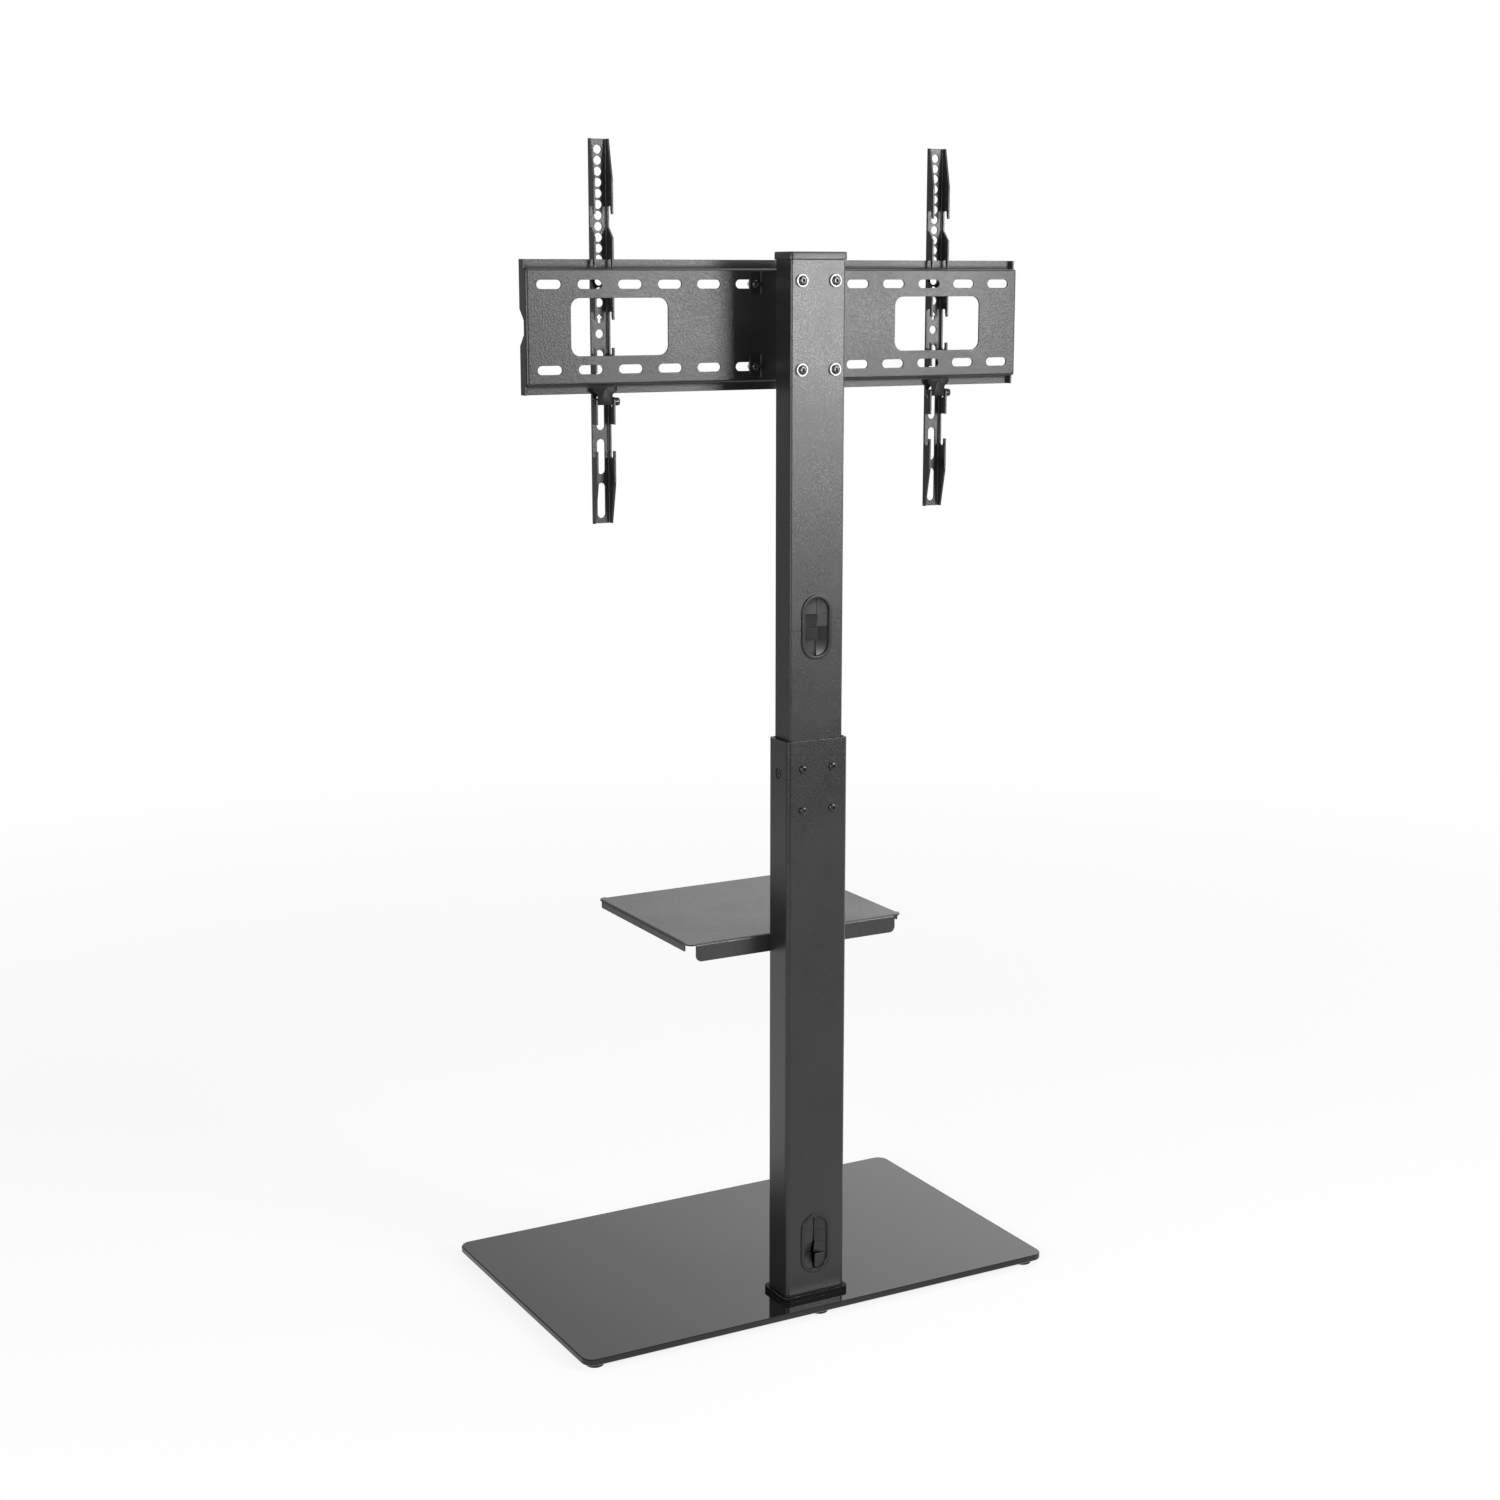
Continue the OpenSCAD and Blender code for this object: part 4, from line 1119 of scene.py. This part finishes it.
@dataclass
class Shelf:
    """The folded shelf and its two screws."""

    shop: Workshop
    face_y: float = 0.119
    screw_x: float = 0.022
    screw_z: float = 0.4615

    def build(self) -> None:
        """Builds the screws and dresses the shelf."""
        self.shop.dress(Finishes.shelf, "shelf")
        self.shop.dress(Finishes.zinc, "shelf_rivet_nuts")
        profile = [*threaded(0.003, -0.011, 0.0), (0.0055, 0.0), (0.0055, 0.0018), (0.0050, 0.0026),
                   (0.0042, 0.0030), (0.0034, 0.0030)]
        head = TurnedHead(profile, Recess.HEXAGON, 0.0052, 0.0019)
        self.shop.fasten(FastenerSet(
            "shelf_screw_set", "base", Finishes.black_steel, head, Facing.FRONT,
            (0.0, self.face_y, self.screw_z), (2 * self.screw_x, 0.0), "shelf_screws", 1.0, 5, (2, 1)))


@dataclass
class ScreenMount:
    """The bracket on the column, the slotted plate and their fasteners."""

    shop: Workshop
    tube: Point = (0.126, 0.162)
    bolt_over: float = 0.010
    plate_rear: float = 0.0845
    ear: float = 0.0025
    ear_tip: float = 0.009
    plate_z: float = 1.1952
    bracket_z: float = 1.1962
    column_spacing: Point = (0.044, 0.100)
    plate_spacing: Point = (0.080, 0.094)
    plate_corner: Point = (0.325, 0.0615)
    bend: float = 0.00295

    def build_column_bolts(self) -> None:
        """Sets the four socket bolts and the dished washers round their heads."""
        front, rear = self.tube
        profile = [*threaded(0.003, front - rear - self.bolt_over, -0.028), (0.003, 0.0010),
                   (0.0052, 0.0010), (0.0052, 0.0019), (0.0051, 0.0026), (0.0048, 0.0033),
                   (0.0043, 0.0039), (0.0037, 0.0043), (0.0034, 0.0044)]
        dish = [(0.0033, 0.0), (0.0070, 0.0), (0.0074, 0.0005), (0.0074, 0.0017), (0.0073, 0.0021),
                (0.0070, 0.0025), (0.0066, 0.0026), (0.0061, 0.0025), (0.0058, 0.0022),
                (0.0056, 0.0016), (0.0054, 0.0010), (0.0033, 0.0010)]
        bolt = TurnedHead(profile, Recess.HEXAGON, 0.0050, 0.0030)
        washer = TurnedHead(dish, segments=40)
        for name, finish, head, turn, seed in (("column_bolt", Finishes.black_steel, bolt, 1.0, 11),
                                               ("cup_washer", Finishes.chrome, washer, 0.0, 1)):
            self.shop.fasten(FastenerSet(
                f"{name}_set", "mast", finish, head, Facing.REAR, (0.0, rear, self.bracket_z),
                self.column_spacing, f"{name}s", turn, seed))

    def build_plate_corners(self) -> None:
        """Closes the plate's four corners with the small domes where its bends meet."""
        maker = MeshMaker("plate_corner_domes")
        wide, high = self.plate_corner
        arcs = [math.radians(angle) for angle in (20, 40, 58, 72, 82)]
        steps = [(-0.0036, 0.90), (-0.0030, 1.0), (0.0, 1.0),
                 *((math.sin(a) * self.bend, math.cos(a)) for a in arcs)]
        for x in (-wide, wide):
            for z in (-high, high):
                maker.loft([ring_of(circle(24, share * self.bend), self.plate_rear - self.bend + rise,
                                    Plane.XZ, (x, self.plate_z + z)) for rise, share in steps])
        self.shop.keep(maker.finish(Finishes.sheet), "mast", Finishes.sheet)

    def build_plate_bolts(self) -> None:
        """Sets the four bolts in the bracket's ears."""
        profile = [*threaded(0.003, -self.ear - self.ear_tip, -self.ear), *PAN_HEAD]
        head = TurnedHead(profile, Recess.CROSS, 0.0050, 0.0016)
        self.shop.fasten(FastenerSet(
            "plate_bolt_set", "mast", Finishes.black_steel, head, Facing.REAR,
            (0.0, self.plate_rear + self.ear, self.plate_z), self.plate_spacing, "plate_bolts", 1.5, 17))

    def build(self) -> None:
        """Builds and dresses the mount."""
        self.shop.dress(Finishes.sheet, "mount_plate")
        self.shop.dress(Finishes.bracket, "mount_bracket")
        self.shop.dress(Finishes.zinc, "column_nuts", "plate_nuts")
        self.build_column_bolts()
        self.build_plate_corners()
        self.build_plate_bolts()


@dataclass
class HookedArm:
    """One hooked arm with its lock bolt and lock clip."""

    shop: Workshop
    side: str
    centre_x: float
    seed: int
    width: float = 0.024
    lock_y: float = 0.0735
    lock_z: float = 1.1115
    clip_half: float = 0.0092
    clip_rear: float = 0.0792
    clip_sheet: float = 0.0018
    clip_wing: float = 0.015
    clip_low: float = 0.0034
    clip_neck: float = 0.008
    clip_shoulder: float = 0.005
    clip_top: float = 1.1287
    clip_round: float = 0.00025
    clip_crease: float = 50.0
    sunk: float = 0.0002
    triangle: Place = (0.0086, 0.0022, 0.0014)
    triangle_proud: float = 0.001
    rib_x: float = 0.0128
    rib_half: float = 0.0009
    rib_ends: Point = (0.014, 0.0008)
    rib_proud: float = 0.0006
    eye_radius: float = 0.0042
    nut_height: float = 0.0015
    nut_span: float = 0.0044
    tip: float = 0.0008

    def slab(self, maker: MeshMaker, outline: Sequence[Point], front: float, rear: float) -> None:
        """Adds an upright slab from an outline in X and Z about the arm's centre line."""
        maker.loft([ring_of(outline, y, Plane.XZ, (self.centre_x, 0.0)) for y in (rear, front)])

    def build_clip(self) -> None:
        """Builds the moulded clip: plate, pressed triangle, ribs and two eyes.

        The triangle is half its foot, half its peak, and the peak's gap to the clip's top.
        """
        maker = MeshMaker(f"{self.side}_clip")
        half, wing, rear, top = self.clip_half, self.clip_wing, self.clip_rear, self.clip_top
        low, neck = self.lock_z - self.clip_low, self.lock_z + self.clip_neck
        shoulder, inside = neck + self.clip_shoulder, rear - self.sunk
        self.slab(maker, [(-half, low), (half, low), (half, neck), (wing, shoulder), (wing, top),
                          (-wing, top), (-wing, shoulder), (-half, neck)], rear - self.clip_sheet, rear)
        foot, peak, gap = self.triangle
        self.slab(maker, [(-foot, low), (foot, low), (peak, top - gap), (-peak, top - gap)],
                  inside, rear + self.triangle_proud)
        for x in (-self.rib_x, self.rib_x):
            left, right = x - self.rib_half, x + self.rib_half
            start, end = self.lock_z + self.rib_ends[0], top - self.rib_ends[1]
            self.slab(maker, [(left, start), (right, start), (right, end), (left, end)],
                      inside, rear + self.rib_proud)
        root = rear - self.clip_sheet + 0.0001
        turns = [math.radians(60 + 10 * k) for k in range(25)]
        eye = [*((self.lock_y + self.eye_radius * math.cos(a), self.lock_z + self.eye_radius * math.sin(a))
                 for a in turns), (root, low), (root, self.lock_z + self.eye_radius)]
        for sign in (-1, 1):
            maker.loft([ring_of(eye, self.centre_x + sign * x, Plane.YZ)
                        for x in (half - self.clip_sheet, half)])
        clip = maker.finish(Finishes.clip, merge=1e-7)
        rounding = clip.modifiers.new("rounded_edges", "BEVEL")
        rounding.width = self.clip_round
        rounding.segments = 2
        rounding.limit_method = "ANGLE"
        bake_modifiers(clip).data.set_sharp_from_angle(angle=math.radians(self.clip_crease))
        self.shop.keep(clip, f"{self.side}_clip_body", Finishes.clip, f"{self.side}_lock_clip")

    def build_nut(self) -> None:
        """Builds the thin nut, which the photograph hides behind the arm's side."""
        maker = MeshMaker(f"{self.side}_thin_nut")
        steps = ((0.0, 1.0), (self.nut_height - 0.0003, 1.0), (self.nut_height, 0.92))
        maker.loft([ring_of(circle(6, self.nut_span * share), self.centre_x + self.width / 2 + rise,
                            Plane.YZ, (self.lock_y, self.lock_z)) for rise, share in steps])
        nut = maker.finish(Finishes.dark_zinc)
        self.shop.keep(nut, f"{self.side}_arm_body", Finishes.dark_zinc, f"{self.side}_lock_nut")

    def build_bolt(self) -> None:
        """Builds the cross bolt, with its head to the -X side."""
        profile = [*threaded(0.0025, -(self.width + self.nut_height + self.tip), -self.width, 0.0008),
                   (0.0025, 0.0), (0.0052, 0.0), (0.0052, 0.0012), (0.004, 0.0012), (0.004, 0.0034),
                   (0.00475, 0.0034), (0.00475, 0.0062), (0.0044, 0.0070), (0.0036, 0.0074),
                   (0.0030, 0.0074)]
        self.shop.fasten(FastenerSet(
            f"{self.side}_lock_screw", f"{self.side}_arm_body", Finishes.black_steel,
            TurnedHead(profile, Recess.CROSS, 0.0048, 0.0018), Facing.LEFT,
            (self.centre_x - self.width / 2, self.lock_y, self.lock_z), (0.0, 0.0),
            f"{self.side}_lock_bolt", 1.2, self.seed, (1, 1)))

    def build(self) -> None:
        """Builds and dresses the arm."""
        self.shop.dress(Finishes.arm, f"{self.side}_arm")
        self.build_nut()
        self.build_bolt()
        self.build_clip()


# Studio


@dataclass
class Softbox:
    """A rectangular lamp that looks at a point."""

    name: str
    place: Place
    aim: Place
    size: Point
    power: float

    def build(self) -> None:
        """Adds the lamp to the scene."""
        data = bpy.data.lights.new(self.name, "AREA")
        data.shape = "RECTANGLE"
        data.size, data.size_y = self.size
        data.energy = self.power
        lamp = link(bpy.data.objects.new(self.name, data))
        lamp.location = self.place
        lamp.rotation_euler = (Vector(self.aim) - Vector(self.place)).to_track_quat("-Z", "Y").to_euler()
        lamp.visible_camera = False


@dataclass
class Studio:
    """Floor, world and lamps, and the photograph's camera, found from the stand's own edges."""

    camera_place: Place = (1.3947, 2.5274, 1.2498)
    camera_aim: Place = (-0.47392, -0.85857, -0.19555)
    camera_lens: float = 56.89
    camera_sensor: float = 36.0
    floor_half: float = 6.0
    floor_fade: Point = (1.2, 3.2)
    floor_white: float = 0.90
    floor_lift: float = 0.84
    world_light: float = 0.28
    wall_shades: Point = (0.32, 0.58)
    wall_turn: Point = (-0.2, 0.45)
    corner_shade: float = 1.15
    corner_turn: Point = (0.58, 0.82)
    corner_way: Place = (-0.93, -0.36, 0.0)
    lamps: Sequence[Softbox] = (
        Softbox("window", (-1.85, 3.15, 1.62), (0.0, 0.15, 1.2), (1.3, 1.4), 125.0),
        Softbox("ceiling", (-1.25, 0.1, 3.4), (0.0, 0.1, 1.0), (2.2, 1.4), 30.0),
        Softbox("side", (2.7, 1.7, 1.25), (0.0, 0.1, 1.0), (2.4, 1.3), 85.0),
    )

    def build_camera(self) -> None:
        """Sets the camera where the photograph was taken."""
        data = bpy.data.cameras.new("photo_camera")
        data.sensor_width = self.camera_sensor
        data.lens = self.camera_lens
        camera = link(bpy.data.objects.new("photo_camera", data))
        camera.location = self.camera_place
        camera.rotation_mode = "QUATERNION"
        camera.rotation_quaternion = Vector(self.camera_aim).to_track_quat("-Z", "Y")
        bpy.context.scene.camera = camera

    def build_floor(self) -> None:
        """Lays a pale floor that fades into the background and keeps the shadow."""
        made = bpy.data.materials.new("pale_floor")
        made.use_nodes = True
        board = NodeBoard(made.node_tree)
        matte = board.add("BsdfDiffuse", Color=(self.floor_white,) * 3 + (1.0,))[0]
        glow = board.add("Emission", Color=WHITE, Strength=1.0)[0]
        clear = board.add("BsdfTransparent")[0]
        lifted = board.layer(board.calc("MULTIPLY", board.seen_share(), self.floor_lift), matte, glow)
        reach = board.add("VectorMath", board.add("TexCoord")["Object"], operation="LENGTH")["Value"]
        fade = board.span(reach, *self.floor_fade)
        board.add("OutputMaterial", Surface=board.layer(fade, lifted, clear))
        maker = MeshMaker("studio_floor")
        half = self.floor_half
        maker.plate_with_holes(ring_of([(-half, -half), (half, -half), (half, half), (-half, half)], 0.0))
        floor = maker.finish()
        floor.data.materials.append(made)

    def build_world(self) -> None:
        """Makes the background white, and the light from it soft and even."""
        world = bpy.data.worlds.new("studio")
        bpy.context.scene.world = world
        world.use_nodes = True
        board = NodeBoard(world.node_tree)
        way = board.add("VectorMath", board.add("TexCoord")["Generated"], self.corner_way,
                        operation="DOT_PRODUCT")["Value"]
        room = board.calc("ADD", board.span(way, *self.wall_turn, *self.wall_shades),
                          board.span(way, *self.corner_turn, 0.0, self.corner_shade))
        camera = board.add("LightPath")["Is Camera Ray"]
        mirrored = board.calc("MULTIPLY_ADD", board.calc("SUBTRACT", 1.0, room), camera, room)
        seen = board.seen_share()
        plain = board.calc("MULTIPLY", board.calc("SUBTRACT", 1.0, seen), self.world_light)
        light = board.calc("MULTIPLY_ADD", mirrored, seen, plain)
        board.add("OutputWorld", Surface=board.add("Background", Color=WHITE, Strength=light)[0])

    def build(self) -> None:
        """Builds the studio."""
        self.build_camera()
        self.build_world()
        self.build_floor()
        for lamp in self.lamps:
            lamp.build()
        bpy.context.scene.view_settings.view_transform = "Standard"
        log.info("studio ready with %d lamps", len(self.lamps))


# The whole stand


def main() -> None:
    """Builds every sub-assembly in order."""
    logging.basicConfig(level=logging.INFO, format="%(name)s: %(message)s")
    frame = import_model()
    shop = Workshop(frame)
    GlassBase(shop).build()
    Column(shop).build()
    Shelf(shop).build()
    ScreenMount(shop).build()
    HookedArm(shop, "left", 0.230, 23).build()
    HookedArm(shop, "right", -0.219, 29).build()
    Studio().build()
    log.info("%d pieces made", len(shop.made))


if __name__ == "__main__":
    main()
